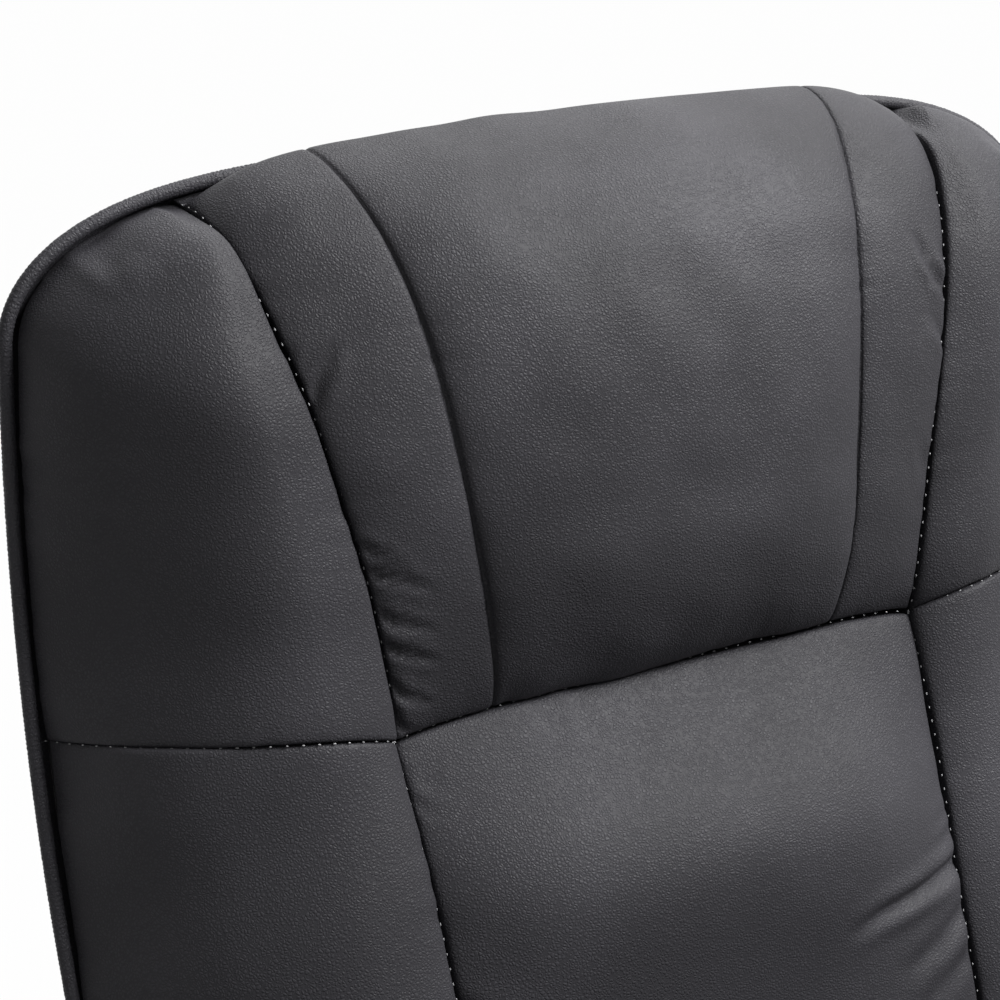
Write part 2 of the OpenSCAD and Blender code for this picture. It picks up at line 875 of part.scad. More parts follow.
// Back brackets: each has a web on the board, a slotted quadrant and a drive pin
function below_pivot(r, turn) = [-r * sin(turn), -r * cos(turn)];
pin_turn = -drive_start - rest_lean;
slot_turns = [stud_angle - recline_travel - rest_lean - stop_angle, stud_angle - rest_lean + stop_angle];
slot_half = stud_r + stud_gap;
bracket_rim = 12;
bracket_arc_steps = 12;
slot_steps = 16;
slot_end_steps = 6;
bracket_top = 78;
bracket_neck = 22;
bracket_corner = 8;
bracket_hip = 6;
bracket_arc_r = quadrant_r + stud_r + bracket_rim;
bracket_over = 5;
heel_share = 0.75;
heel_over = 8;
flange_t = 4;
flange_w = 56;
flange_low = 70;
flange_high = 58;
web_inset = 28;
web_x = low_half - web_inset;
web_depth = 16;
spacer_r = 7;
spacer_z = [-45, 40];
board_rear_y = board_gap + soft_gap + back_board_t - pivot_depth;
spacer_y = board_rear_y + web_depth / 2;
flange_bolt_z = [-55, 45];
flange_bolt_x = web_x - flange_w / 2;
bracket_bolt_h = 4.5;

bracket_outline = concat(
    [for (i = [0:bracket_arc_steps])
        below_pivot(bracket_arc_r,
            mix(slot_turns[1] + bracket_over, pin_turn - bracket_over, i / bracket_arc_steps))],
    [
        below_pivot(drive_arm * heel_share, pin_turn - heel_over),
        [bracket_neck + bracket_hip, 0],
        [bracket_neck, bracket_top - bracket_corner],
        [bracket_neck - bracket_corner, bracket_top],
        [bracket_corner - bracket_neck, bracket_top],
        [-bracket_neck, bracket_top - bracket_corner],
        [-bracket_neck - bracket_hip, -pivot_bush_r]
    ]
);
// The round end of the slot at one of its turns, its arc on the side given by way
function slot_end(end_turn, way) =
    [for (i = [1:slot_end_steps - 1])
        below_pivot(quadrant_r, end_turn)
            + way * below_pivot(slot_half, end_turn + 180 * i / slot_end_steps)];
arc_slot = concat(
    [for (i = [0:slot_steps])
        below_pivot(quadrant_r + slot_half, mix(slot_turns[0], slot_turns[1], i / slot_steps))],
    slot_end(slot_turns[1], 1),
    [for (i = [0:slot_steps])
        below_pivot(quadrant_r - slot_half, mix(slot_turns[1], slot_turns[0], i / slot_steps))],
    slot_end(slot_turns[0], -1)
);

module back_bracket() {
    pin = below_pivot(drive_arm, pin_turn);
    color(steel)
        on_back() {
            difference() {
                across(bracket_x, bracket_t)
                    polygon(bracket_outline);
                across(bracket_x - overrun, bracket_t + 2 * overrun)
                    polygon(arc_slot);
                peg(bracket_x - overrun, 0, 0, bracket_t + 2 * overrun, pivot_bush_r);
            }
            peg(lug_x - pin_reach, pin[0], pin[1], bracket_x - lug_x + pin_reach, pin_r);
            for (z = spacer_z)
                peg(web_x, spacer_y, z, bracket_x - web_x, spacer_r);
            difference() {
                union() {
                    translate([web_x, board_rear_y, -flange_low])
                        cube([flange_t, web_depth, flange_low + flange_high]);
                    translate([web_x - flange_w, board_rear_y, -flange_low])
                        cube([flange_w, flange_t, flange_low + flange_high]);
                }
                for (z = flange_bolt_z)
                    translate([flange_bolt_x, board_rear_y - overrun, z])
                        rotate([-90, 0, 0])
                            cylinder(h = flange_t + 2 * overrun, r = bolt_r + bolt_gap);
            }
        }
}

module bracket_bolts() {
    color(zinc)
        both_sides()
            on_back()
                for (z = flange_bolt_z)
                    translate([flange_bolt_x, board_rear_y + flange_t, z])
                        rotate([90, 0, 0]) {
                            cylinder(h = flange_t + back_board_t, r = bolt_r);
                            translate([0, 0, -bracket_bolt_h])
                                cylinder(h = bracket_bolt_h, r = bolt_head_r, $fn = 6);
                        }
}

module pivot_bushes() {
    color(nylon)
        both_sides()
            on_back()
                difference() {
                    peg(bracket_x, 0, 0, bracket_t, pivot_bush_r);
                    peg(bracket_x - overrun, 0, 0, bracket_t + 2 * overrun, pivot_r + fit_gap);
                }
}

// Moulded board inside the back
board_steps = 12;
board_top_s = back_rise - board_top_inset;
board_low_s = board_gap - back_drop;
board_front_d = -board_gap - soft_gap;
function board_edge(d) = concat(
    [on_spine(0, board_low_s, d)],
    [for (i = [0:board_steps]) on_spine(0, board_top_s * i / board_steps, d)]
);
board_profile = [for (p = concat(
    board_edge(board_front_d),
    reversed(board_edge(board_front_d - back_board_t))
)) [p[1], p[2]]];
board_outline = [for (i = [0:outline_count - 1])
    let (
        p = outline[i] - outward(i) * board_inset,
        q = on_spine(p[0], min(p[1], board_top_s - overrun), board_front_d)
    )
    [q[0], q[2]]];

module back_board() {
    color(bare_wood)
        on_back()
            difference() {
                intersection() {
                    across(-back_w / 2, back_w)
                        polygon(board_profile);
                    translate([0, bend_rise, 0])
                        rotate([90, 0, 0])
                            linear_extrude(2 * bend_rise)
                                polygon(board_outline);
                }
                both_sides()
                    for (z = flange_bolt_z)
                        translate([flange_bolt_x, board_rear_y + overrun, z])
                            rotate([90, 0, 0])
                                cylinder(h = back_board_t + 2 * overrun, r = bolt_r + bolt_gap);
            }
}

// Padding of the back: seams, crowns and edges, in depths ahead of the piping
seam_s = 66;
seam_lift = 5;
seam_gap = 1.2;
seam_dip = 3;
pillow_flare = 49;
panel_flare = 30;
panel_top_flare = 12.5;
crest_s = 135;
crest_power = 2.4;
seam_crest_power = 2.6;
pillow_side_puff = 10;
panel_puff = 16;
side_panel_puff = 10;
welt_lip = 2;
bolster_seam_rise = 25;
bolster_crown_share = 0.36;
bolster_fall_power = 1.6;
upper_crown = 24;
lower_crown = 22;
seam_crown_share = 0.67;
lumbar_crown = 18;
lumbar_draw = 4;
edge_roll = 46;
foot_roll = 60;
bolster_inset = 1.6;
foot_thin_share = 0.5;
// How far the rear edges are tucked in, to lie inside the side band
tuck_gap = 2.4;
tuck = band_draw * (board_gap - band_front) / (shell_depth - band_front)
    + band_t - band_overhang + tuck_gap;

seam_d = pad_depth - seam_dip;
pillow_top = seam_half_at_top();
function seam_half_at_top() = pillow_half + pillow_flare;
function seam_half(s) =
    pillow_half + pillow_flare * pow(clamp((s - seam_s) / (back_rise - seam_s)), 1.55);
function inner_half(s) =
    let (f = clamp((s - seam_s) / (back_rise + crest_over - seam_s)))
    panel_half + panel_flare * f + panel_top_flare * pow(f, 8);
function rolled(f) = pow(1 - pow(1 - clamp(f), 2.5), 0.6);
function foot_line(u) = seam_s + seam_lift * (1 - pow(abs(u), 6));

// The head pillow's columns: u runs from -1 to 1 across it, and the middle panel takes panel_share
panel_share = 0.6;
pillow_cols = 20;
pillow_rows = 18;
pillow_us = [for (i = [0:pillow_cols])
    let (
        v = 2 * i / pillow_cols - 1,
        side = abs(v) > panel_share - 0.001
    )
    side
        ? sign(v) * mix(panel_share, 1, ease((abs(v) - panel_share) / (1 - panel_share)))
        : panel_share * sin(90 * v / panel_share)];
function pillow_x(u, s) =
    let (inner = inner_half(s), outer = seam_half(s) - seam_gap / 2)
    abs(u) < panel_share
        ? inner * u / panel_share
        : sign(u) * mix(inner, outer, (abs(u) - panel_share) / (1 - panel_share));
// Height of the pillow's crown above its lower seam, drawn in at the seams between its panels
function pillow_rise(u) =
    let (
        v = abs(u) / panel_share,
        side = clamp((abs(u) - panel_share) / (1 - panel_share)),
        seam_rise = pillow_puff - panel_puff
    )
    v < 1
        ? seam_rise + panel_puff * pow(1 - pow(v, 3), 0.6)
        : mix(seam_rise, pillow_side_puff, side)
            + side_panel_puff * pow(4 * side * (1 - side), 0.6);
function pillow_over(u) = crest_over * (1 - pow(abs(u), 5));
pillow_foot_share = 0.28;
pillow_tail_share = 0.84;

// One point of the pillow's front: f runs from its foot, over its crest, to the piping behind it
function pillow_front(u, f) =
    let (
        edge = top_edge(u * pillow_top),
        foot = clamp(f / pillow_foot_share),
        arc = 90 * clamp((f - pillow_foot_share) / (pillow_tail_share - pillow_foot_share)),
        tail = 90 * clamp((f - pillow_tail_share) / (1 - pillow_tail_share)),
        crest = seam_d + pillow_rise(u),
        s = f < pillow_foot_share
            ? mix(foot_line(u), crest_s, foot)
            : f < pillow_tail_share
                ? mix(crest_s, edge + pillow_over(u), pow(sin(arc), 2 / crest_power))
                : edge + (pillow_over(u) + seam_gap) * cos(tail) - seam_gap,
        d = f < pillow_foot_share
            ? mix(seam_d, crest, rolled(foot))
            : f < pillow_tail_share
                ? crest * cos(arc)
                : (groove_depth(edge) + piping_r + soft_gap) * sin(tail)
    )
    on_spine(pillow_x(u, s), s, d);
function pillow_rear(u, f) =
    let (
        top = top_edge(u * pillow_top) - seam_gap,
        s = mix(foot_line(u), top, f),
        past = clamp((s - board_top_s - back_board_t) / (back_rise - board_top_s))
    )
    on_spine(pillow_x(u, s), s, mix(-board_gap, groove_depth(back_rise) - seam_gap, past));

module head_pillow() {
    color(leather)
        on_back()
            padded_grid(
                [for (j = [0:pillow_rows]) [for (u = pillow_us) pillow_front(u, j / pillow_rows)]],
                [for (j = [0:pillow_rows]) [for (u = pillow_us) pillow_rear(u, j / pillow_rows)]]
            );
}

// Depth of the pillow's side seams
function side_seam_depth(s) =
    let (
        crest = seam_d + pillow_side_puff,
        top = top_edge(pillow_top)
    )
    s < crest_s
        ? mix(seam_d, crest, rolled((s - seam_s) / (crest_s - seam_s)))
        : crest * sqrt(1 - pow(clamp((s - crest_s) / (top - crest_s)), seam_crest_power));

// A bolster's section: e runs from its inner seam to the piping
function bolster_depth(e, inner_d, edge_d, crown) =
    e < bolster_crown_share
        ? inner_d + crown * pow(1 - pow(1 - e / bolster_crown_share, 2), 0.7)
        : mix(edge_d, inner_d + crown,
            1 - pow((e - bolster_crown_share) / (1 - bolster_crown_share), bolster_fall_power));
bolster_cols = 8;
bolster_rows = 11;
bolster_es = [for (i = [0:bolster_cols]) ease(i / bolster_cols)];
// The seam between the two bolsters of a side bows up over their crowns
seam_bow_power = 0.62;
function seam_bow(e) = bolster_seam_rise * (pow(e, seam_bow_power) - e);

side_turn_share = 0.62;
corner_reach = 62;
upper_top_share = 0.985;
function bolster_edge(f) =
    f < side_turn_share
        ? let (s = mix(seam_s + bolster_seam_rise, corner_s, f / side_turn_share)) [side_half(s), s]
        : corner_point(corner_reach * (f - side_turn_share) / (1 - side_turn_share));
edge_step = 0.01;
function tucked_edge(f) =
    let (
        along = bolster_edge(f + edge_step) - bolster_edge(f - edge_step),
        out = [along[1], -along[0]] / norm(along)
    )
    bolster_edge(f) - tuck * out;
function upper_bolster_point(e, f, front) =
    let (
        s_in = mix(seam_s, top_edge(pillow_top) - 2 * seam_gap, f),
        inner = [seam_half(s_in) + seam_gap / 2, s_in + seam_gap / 2],
        outer = front ? bolster_edge(f) : tucked_edge(f),
        p = mix(inner, outer, e),
        s = p[1] + seam_bow(e) * pow(1 - f, 3),
        edge_d = groove_depth(outer[1]) + welt_lip,
        inner_d = max(side_seam_depth(s_in), groove_depth(s_in) + welt_lip),
        narrow = clamp((outer[0] - inner[0]) / (side_half(seam_s) - pillow_half)),
        swell = upper_crown * narrow * (1 - (1 - seam_crown_share) * pow(1 - f, 8)),
        past = clamp((s - board_top_s - back_board_t) / (back_rise - board_top_s)),
        rear_d = mix(-board_gap, groove_depth(back_rise) - seam_gap, past)
    )
    on_spine(p[0], s, front ? bolster_depth(e, inner_d, edge_d, swell) : rear_d);

module upper_bolster() {
    fs = [for (j = [0:bolster_rows]) upper_top_share * j / bolster_rows];
    color(leather)
        on_back()
            padded_grid(
                [for (f = fs) [for (e = bolster_es) upper_bolster_point(e, f, true)]],
                [for (f = fs) [for (e = bolster_es) upper_bolster_point(e, f, false)]]
            );
}

function lumbar_half(s) = pillow_half - lumbar_draw * clamp((seam_s - s) / (2 * seam_s));
function foot_share(s) =
    let (f = clamp((foot_roll - back_drop - s) / foot_roll))
    foot_thin_share + (1 - foot_thin_share) * sqrt(1 - f * f);
function lower_bolster_point(e, f, front) =
    let (
        inset = front ? bolster_inset : tuck,
        foot = inset - back_drop,
        s_in = mix(foot, seam_s - seam_gap / 2, f),
        s_out = mix(foot, seam_s + bolster_seam_rise - seam_gap / 2, f),
        x_in = lumbar_half(s_in) + seam_gap / 2,
        x = mix(x_in, edge_half(s_out, inset), e),
        s = mix(s_in, s_out, e) + seam_bow(e) * pow(f, 6),
        at_seam = pow(f, 10),
        swell = lower_crown * (1 - (1 - upper_crown * seam_crown_share / lower_crown) * at_seam),
        d = bolster_depth(e, pad_depth - seam_dip * at_seam, welt_lip, swell) * foot_share(s_in)
    )
    on_spine(x, s, front ? d : -board_gap);

module lower_bolster() {
    color(leather)
        on_back()
            padded_grid(
                [for (j = [0:bolster_rows]) [for (e = bolster_es)
                    lower_bolster_point(e, j / bolster_rows, true)]],
                [for (j = [0:bolster_rows]) [for (e = bolster_es)
                    lower_bolster_point(e, j / bolster_rows, false)]]
            );
}

lumbar_cols = 12;
lumbar_rows = 14;
function lumbar_point(u, f, front) =
    let (
        top = foot_line(u) - seam_gap,
        s = mix(front ? -back_drop : tuck - back_drop, top, f),
        crown = lumbar_crown * pow(1 - pow(abs(u), 2.6), 0.8),
        d = mix(seam_d, pad_depth + crown, rolled((top - s) / edge_roll)) * foot_share(s)
    )
    on_spine(u * (lumbar_half(s) - seam_gap / 2), s, front ? d : -board_gap);

module lumbar_cushion() {
    us = [for (i = [0:lumbar_cols]) sin(180 * i / lumbar_cols - 90)];
    fs = [for (j = [0:lumbar_rows]) 1 - pow(1 - j / lumbar_rows, 1.3)];
    color(leather)
        on_back()
            padded_grid(
                [for (f = fs) [for (u = us) lumbar_point(u, f, true)]],
                [for (f = fs) [for (u = us) lumbar_point(u, f, false)]]
            );
}

// Side band, rear panel and piping
function band_point(i, thick, rear) =
    let (p = outline[i] + outward(i) * (band_overhang - thick - (rear ? band_draw : 0)))
    on_spine(p[0], p[1], rear ? -shell_depth : groove_depth(outline[i][1]) - band_front);

module side_band() {
    color(leather)
        on_back()
            difference() {
                skin([for (i = [0:outline_count - 1])
                    [
                        band_point(i, 0, false),
                        band_point(i, 0, true),
                        band_point(i, band_t, true),
                        band_point(i, band_t, false)
                    ]], closed = true);
                both_sides()
                    for (z = spacer_z)
                        peg(web_x + flange_t, spacer_y, z, bracket_x - web_x, spacer_r + bolt_gap);
            }
}

panel_cols = 6;
panel_crown = 4;
module rear_panel() {
    us = [for (i = [0:panel_cols]) 2 * i / panel_cols - 1];
    edge = [for (j = [0:half_count - 1])
        half_outline[j] + outward(j) * (band_overhang - band_t - band_draw - soft_gap)];
    color(leather)
        on_back()
            padded_grid(
                [for (p = edge) [for (u = us) on_spine(u * p[0], p[1], panel_t - shell_depth)]],
                [for (p = edge) [for (u = us)
                    on_spine(u * p[0], p[1], panel_crown * (u * u - 1) - shell_depth)]]
            );
}

piping_sides = 8;
piping_turn = 360 / piping_sides;
module piping() {
    color(leather)
        on_back()
            skin([for (i = [low_corner_steps:outline_count - 1 - low_corner_steps])
                [for (k = [piping_sides - 1:-1:0])
                    let (p = outline[i]
                        + outward(i) * (piping_r * (1 + cos(k * piping_turn)) + soft_gap))
                    on_spine(p[0], p[1],
                        groove_depth(outline[i][1]) + piping_r * sin(k * piping_turn))]]);
}

// Seat frame, webbing and covers
seat_rear_y = 128;
seat_l = seat_front_y + seat_rear_y;
strap_w = 60;
strap_cross_count = 6;
strap_long_count = 4;
strap_inset = 40;
dust_t = 0.8;
front_pad_t = 15;
front_pad_r = 6;
front_edge_r = 1;

module seat_frame() {
    color(bare_wood)
        difference() {
            translate([-seat_half, -seat_front_y, frame_z])
                cube([2 * seat_half, seat_l, frame_h]);
            translate([frame_t - seat_half, frame_t - seat_front_y, frame_z - overrun])
                cube([2 * (seat_half - frame_t), seat_l - 2 * frame_t, frame_h + 2 * overrun]);
        }
}

module seat_webbing() {
    cross_y_ends = [strap_inset / 2 - seat_front_y, seat_rear_y - frame_t - strap_w];
    long_x = seat_half - frame_t - strap_inset;
    color(cloth) {
        for (i = [0:strap_cross_count - 1])
            translate([
                -seat_half,
                mix(cross_y_ends[0], cross_y_ends[1], i / (strap_cross_count - 1)),
                frame_top
            ])
                cube([2 * seat_half, strap_w, strap_t]);
        for (i = [0:strap_long_count - 1])
            translate([
                mix(-long_x, long_x - strap_w, i / (strap_long_count - 1)),
                -seat_front_y,
                frame_top + strap_t
            ])
                cube([strap_w, seat_l, strap_t]);
    }
}

module dust_cover() {
    color(cloth)
        translate([soft_gap - runner_x, -seat_front_y, frame_z - dust_t])
            cube([2 * (runner_x - soft_gap), seat_l, dust_t]);
}

module seat_front() {
    inner_y = -seat_front_y - soft_gap;
    color(leather)
        across(-seat_half, 2 * seat_half)
            polygon(filleted([
                [inner_y - front_pad_t, runner_z, front_pad_r],
                [inner_y, runner_z, front_edge_r],
                [inner_y, cushion_z - soft_gap, front_edge_r],
                [inner_y - front_pad_t, cushion_z - soft_gap, front_pad_r]
            ]));
}

// Seat cushion: its rear face keeps a gap to the padded back, and its sides are drawn in
seat_back_gap = 6;
cushion_nose = 22;
cushion_top_z = cushion_z + cushion_h;
cushion_rear_z = cushion_top_z - cushion_slope;
function back_front_y(z) =
    let (
        ahead = -pivot_depth - pad_depth - lumbar_crown,
        up = (z - pivot_z + ahead * sin(rest_lean)) / cos(rest_lean)
    )
    pivot_y + ahead * cos(rest_lean) + up * sin(rest_lean);
cushion_front_y = -seat_front_y - cushion_nose;
cushion_corners = [
    [cushion_front_y, cushion_z, 20],
    [back_front_y(cushion_z) - seat_back_gap, cushion_z, 8],
    [back_front_y(cushion_rear_z) - seat_back_gap, cushion_rear_z, 16],
    [cushion_front_y, cushion_top_z, 48]
];
cushion_edge = 34;
cushion_crown = 10;
cushion_seam_d = 7;
cushion_seam_w = 10;
cushion_draw = 12;
cushion_edge_steps = 5;
cushion_seam_shares = [-2.6, -1, -0.45, 0, 0.45, 1, 2.6];
cushion_mid_shares = [-0.55, 0, 0.55];
cushion_xs = let (
    edge = [for (i = [0:cushion_edge_steps])
        seat_half - cushion_edge * (1 - sin(90 * i / cushion_edge_steps))],
    seam = [for (f = cushion_seam_shares) pillow_half + f * cushion_seam_w],
    half = concat(seam, edge)
) concat(
    [for (x = reversed(half)) -x],
    [for (f = cushion_mid_shares) f * pillow_half],
    half
);

function cushion_loop(x) =
    let (
        side = clamp((abs(x) - seat_half + cushion_edge) / cushion_edge),
        draw = cushion_draw * (1 - sqrt(1 - side * side)),
        u = x / seat_half,
        seam = (abs(x) - pillow_half) / cushion_seam_w,
        lift = cushion_crown * (1 - u * u) - cushion_seam_d * exp(-2 * seam * seam)
    )
    [for (p = filleted(cushion_corners, draw))
        let (
            f = clamp((p[1] - cushion_z) / (cushion_rear_z - cushion_z)),
            low = p[1] < cushion_z + 2 * cushion_draw
        )
        [x, p[0], low ? mix(p[1] - draw, p[1], f) : p[1] + lift * clamp(2 * f - 1)]];

module seat_cushion() {
    color(leather)
        skin([for (x = cushion_xs) cushion_loop(x)]);
}

// Runners, slide blocks and drive lugs
runner_x = guide_x - runner_t;
runner_low = guide_z + guide_wall + run_gap;
runner_side_gap = 0.6;
lug_margin = 16;
lug_heel = 6;
lug_corner_r = 10;
lug_top = pin_high_z + pin_r + pin_end_gap + lug_margin / 2;
runner_rear = pin_y + lug_margin + lug_heel;
runner_front = 370;
block_l = 60;
block_y = [-180, 90];
block_gap = 0.5;
block_z = guide_z + guide_h / 2;
block_x = runner_x + runner_t - runner_side_gap;
block_end_x = guide_x + guide_w - guide_wall - block_gap;
block_bolt_end = 2;

module seat_runners() {
    color(steel)
        both_sides()
            difference() {
                union() {
                    translate([runner_x, -runner_front, runner_low])
                        cube([
                            runner_t - runner_side_gap,
                            runner_front + seat_rear_y,
                            frame_z - runner_low
                        ]);
                    translate([runner_x, -runner_front, runner_z])
                        cube([lug_x + lug_t - runner_x, runner_front + runner_rear, runner_t]);
                }
                for (y = block_y)
                    peg(runner_x - overrun, y, block_z, runner_t + overrun, bolt_r + bolt_gap);
            }
}

module slide_blocks() {
    color(zinc)
        both_sides()
            for (y = block_y)
                difference() {
                    translate([block_x, y - block_l / 2, guide_z + guide_wall + block_gap])
                        cube([
                            block_end_x - block_x,
                            block_l,
                            guide_h - 2 * (guide_wall + block_gap)
                        ]);
                    peg(block_x - overrun, y, block_z,
                        block_end_x - block_x - block_bolt_end + overrun, bolt_r + bolt_gap);
                }
}

module block_bolts() {
    color(zinc)
        both_sides()
            for (y = block_y) {
                peg(runner_x - bolt_head_h, y, block_z, bolt_head_h, bolt_head_r);
                peg(runner_x, y, block_z, block_end_x - 2 * block_bolt_end - runner_x, bolt_r);
            }
}

module drive_lugs() {
    slot = pin_r + pin_side_gap;
    slot_low = pin_low_z - pin_r - pin_end_gap;
    color(steel)
        both_sides()
            difference() {
                across(lug_x, lug_t)
                    polygon(filleted([
                        [pin_y - lug_margin - lug_heel, frame_z, front_edge_r],
                        [pin_y + lug_margin + lug_heel, frame_z, front_edge_r],
                        [pin_y + lug_margin, lug_top, lug_corner_r],
                        [pin_y - lug_margin, lug_top, lug_corner_r]
                    ]));
                across(lug_x - overrun, lug_t + 2 * overrun)
                    translate([pin_y - slot, slot_low])
                        polygon(rectangle(2 * slot, pin_high_z + pin_r + pin_end_gap - slot_low, pin_r));
            }
}

base_ring();
base_legs();
floor_glides();
leg_screws();
hub_bolts();
hub_plate();
spindle();
thrust_washer();
spindle_nut();
swivel_plate();
swivel_bush();
carrier_bolts();
carrier_frame();
tube_caps();
guide_rails();
side_plate();  // side_plate_left
mirror([1, 0, 0]) side_plate();  // side_plate_right
arm_lining();  // arm_lining_left
mirror([1, 0, 0]) arm_lining();  // arm_lining_right
arm_board();  // arm_board_left
mirror([1, 0, 0]) arm_board();  // arm_board_right
arm_panel();  // arm_panel_left
mirror([1, 0, 0]) arm_panel();  // arm_panel_right
arm_pad();  // arm_pad_left
mirror([1, 0, 0]) arm_pad();  // arm_pad_right
arm_bolts();
pivot_bolts();
pivot_washers();
clamp_studs();
back_board();
back_bracket();  // back_bracket_left
mirror([1, 0, 0]) back_bracket();  // back_bracket_right
pivot_bushes();
bracket_bolts();
head_pillow();
upper_bolster();  // upper_bolster_left
mirror([1, 0, 0]) upper_bolster();  // upper_bolster_right
lower_bolster();  // lower_bolster_left
mirror([1, 0, 0]) lower_bolster();  // lower_bolster_right
lumbar_cushion();
side_band();
rear_panel();
piping();
seat_frame();
seat_webbing();
seat_cushion();
seat_front();
seat_runners();
slide_blocks();
block_bolts();
drive_lugs();
dust_cover();
knob();  // knob_left
mirror([1, 0, 0]) knob();  // knob_right
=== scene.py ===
# A swivel recliner in charcoal leather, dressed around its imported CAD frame.
# Metres, +Z up; the chair faces -Y and turns about Z, and +X is the sitter's left.
import math
import bmesh
import bpy
import numpy as np
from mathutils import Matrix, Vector


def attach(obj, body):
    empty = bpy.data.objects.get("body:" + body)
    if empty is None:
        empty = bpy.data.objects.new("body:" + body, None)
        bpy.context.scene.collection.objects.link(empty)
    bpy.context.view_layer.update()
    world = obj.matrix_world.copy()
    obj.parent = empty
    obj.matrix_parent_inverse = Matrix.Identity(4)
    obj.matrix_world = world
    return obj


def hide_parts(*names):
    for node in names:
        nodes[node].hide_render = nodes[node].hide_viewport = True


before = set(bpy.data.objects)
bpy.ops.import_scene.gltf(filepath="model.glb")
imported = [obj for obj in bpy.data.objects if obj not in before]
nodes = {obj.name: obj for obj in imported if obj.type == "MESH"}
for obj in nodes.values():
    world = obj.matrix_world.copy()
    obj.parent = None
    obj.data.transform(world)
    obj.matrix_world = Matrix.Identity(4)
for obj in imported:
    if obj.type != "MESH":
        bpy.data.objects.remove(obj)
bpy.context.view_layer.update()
MM = 0.001

# The room: a pale floor that runs out to a white surround, soft studio lights, and the camera
# at the photograph's place, a little over a metre from the head of the back, looking down on it.
class Wire:
    """A number on its way through a material; arithmetic with wires adds Math nodes."""
    def __init__(self, finish, socket):
        self.finish = finish
        self.socket = socket

    def math(self, operation, *values):
        return self.finish.add("Math", 0, {"operation": operation}, dict(enumerate(values)))

    def __add__(self, other): return self.math("ADD", self, other)
    def __sub__(self, other): return self.math("SUBTRACT", self, other)
    def __rsub__(self, other): return self.math("SUBTRACT", other, self)
    def __mul__(self, other): return self.math("MULTIPLY", self, other)
    def __pow__(self, other): return self.math("POWER", self, other)


class Finish:
    """A material being made: its shader, and the nodes that vary it over a surface."""
    def __init__(self, name, **shader_values):
        self.material = bpy.data.materials.new(name)
        self.material.use_nodes = True
        self.tree = self.material.node_tree
        self.shader = self.tree.nodes["Principled BSDF"]
        self.set(**shader_values)
        self.place = self.add("TexCoord", "Object")

    def add(self, kind, output, settings={}, sockets={}):
        node = self.tree.nodes.new("ShaderNode" + kind)
        for name, value in settings.items():
            setattr(node, name, value)
        for name, value in sockets.items():
            self.feed(node.inputs[name], value)
        return Wire(self, node.outputs[output])

    def feed(self, socket, value):
        if isinstance(value, Wire):
            self.tree.links.new(value.socket, socket)
        else:
            socket.default_value = value

    def set(self, **values):
        """Shader sockets by name, such as Base_Color or Roughness."""
        for name, value in values.items():
            self.feed(self.shader.inputs[name.replace("_", " ")], value)

    def noise(self, scale, detail=2.0, place=None, output="Fac"):
        return self.add("TexNoise", output, {}, {
            "Vector": place or self.place, "Scale": scale, "Detail": detail})

    def cells(self, scale, place):
        return self.add("TexVoronoi", "Distance", {"feature": "DISTANCE_TO_EDGE"}, {
            "Vector": place, "Scale": scale})

    def step(self, value, low, high):
        """Rises smoothly from 0 to 1 as the value goes from low to high."""
        return self.add("MapRange", "Result", {"interpolation_type": "SMOOTHSTEP"}, {
            "Value": value, "From Min": low, "From Max": high})

    def blend(self, share, first, second):
        return self.add("Mix", 2, {"data_type": "RGBA"}, {
            0: share, 6: (*first, 1) if isinstance(first, tuple) else first,
            7: (*second, 1) if isinstance(second, tuple) else second})

    def stretch(self, x, y, z, place=None):
        return self.add("Mapping", 0, {}, {"Vector": place or self.place, "Scale": (x, y, z)})

    def bump(self, height, depth):
        self.set(Normal=self.add("Bump", 0, {}, {
            "Height": height, "Distance": depth, "Strength": 1.0}))


def placed(name, data):
    """A new object of the scene that holds the data."""
    made = bpy.data.objects.new(name, data)
    bpy.context.scene.collection.objects.link(made)
    return made


floor_half, floor_drop = 9.0, 0.0004
floor_color = (0.42, 0.42, 0.416)
bpy.ops.mesh.primitive_plane_add(size=2 * floor_half, location=(0, 0, -floor_drop))
floor = bpy.context.active_object
floor.name = "floor"
floor_finish = Finish("studio_floor", Roughness=0.75)
floor_finish.set(Base_Color=floor_finish.blend(
    floor_finish.noise(3.0), floor_color, tuple(0.97 * c for c in floor_color)))
paper_white = floor_finish.add("Emission", 0, {}, {"Color": (1, 1, 1, 1), "Strength": 1.0})


def sees_paper(tree):
    """1 for the camera's rays and those mirrored or passed on to it, and 0 for the others."""
    rays = tree.nodes.new("ShaderNodeLightPath")
    total = rays.outputs["Is Camera Ray"]
    for kind in ("Is Glossy Ray", "Is Transmission Ray"):
        either = tree.nodes.new("ShaderNodeMath")
        either.operation = "MAXIMUM"
        tree.links.new(total, either.inputs[0])
        tree.links.new(rays.outputs[kind], either.inputs[1])
        total = either.outputs[0]
    return total


paper_share = 0.985
floor_finish.feed(
    floor_finish.tree.nodes["Material Output"].inputs["Surface"],
    floor_finish.add("MixShader", 0, {}, {
        0: Wire(floor_finish, sees_paper(floor_finish.tree)) * paper_share,
        1: Wire(floor_finish, floor_finish.shader.outputs[0]), 2: paper_white}))
floor.data.materials.append(floor_finish.material)

world = bpy.data.worlds.new("studio")
bpy.context.scene.world = world
world.use_nodes = True
surround = world.node_tree
surround_light = 0.015
strength = surround.nodes.new("ShaderNodeMix")
surround.links.new(sees_paper(surround), strength.inputs[0])
strength.inputs[2].default_value = surround_light
strength.inputs[3].default_value = 1.0
surround.nodes["Background"].inputs["Color"].default_value = (1, 1, 1, 1)
surround.links.new(strength.outputs[0], surround.nodes["Background"].inputs["Strength"])

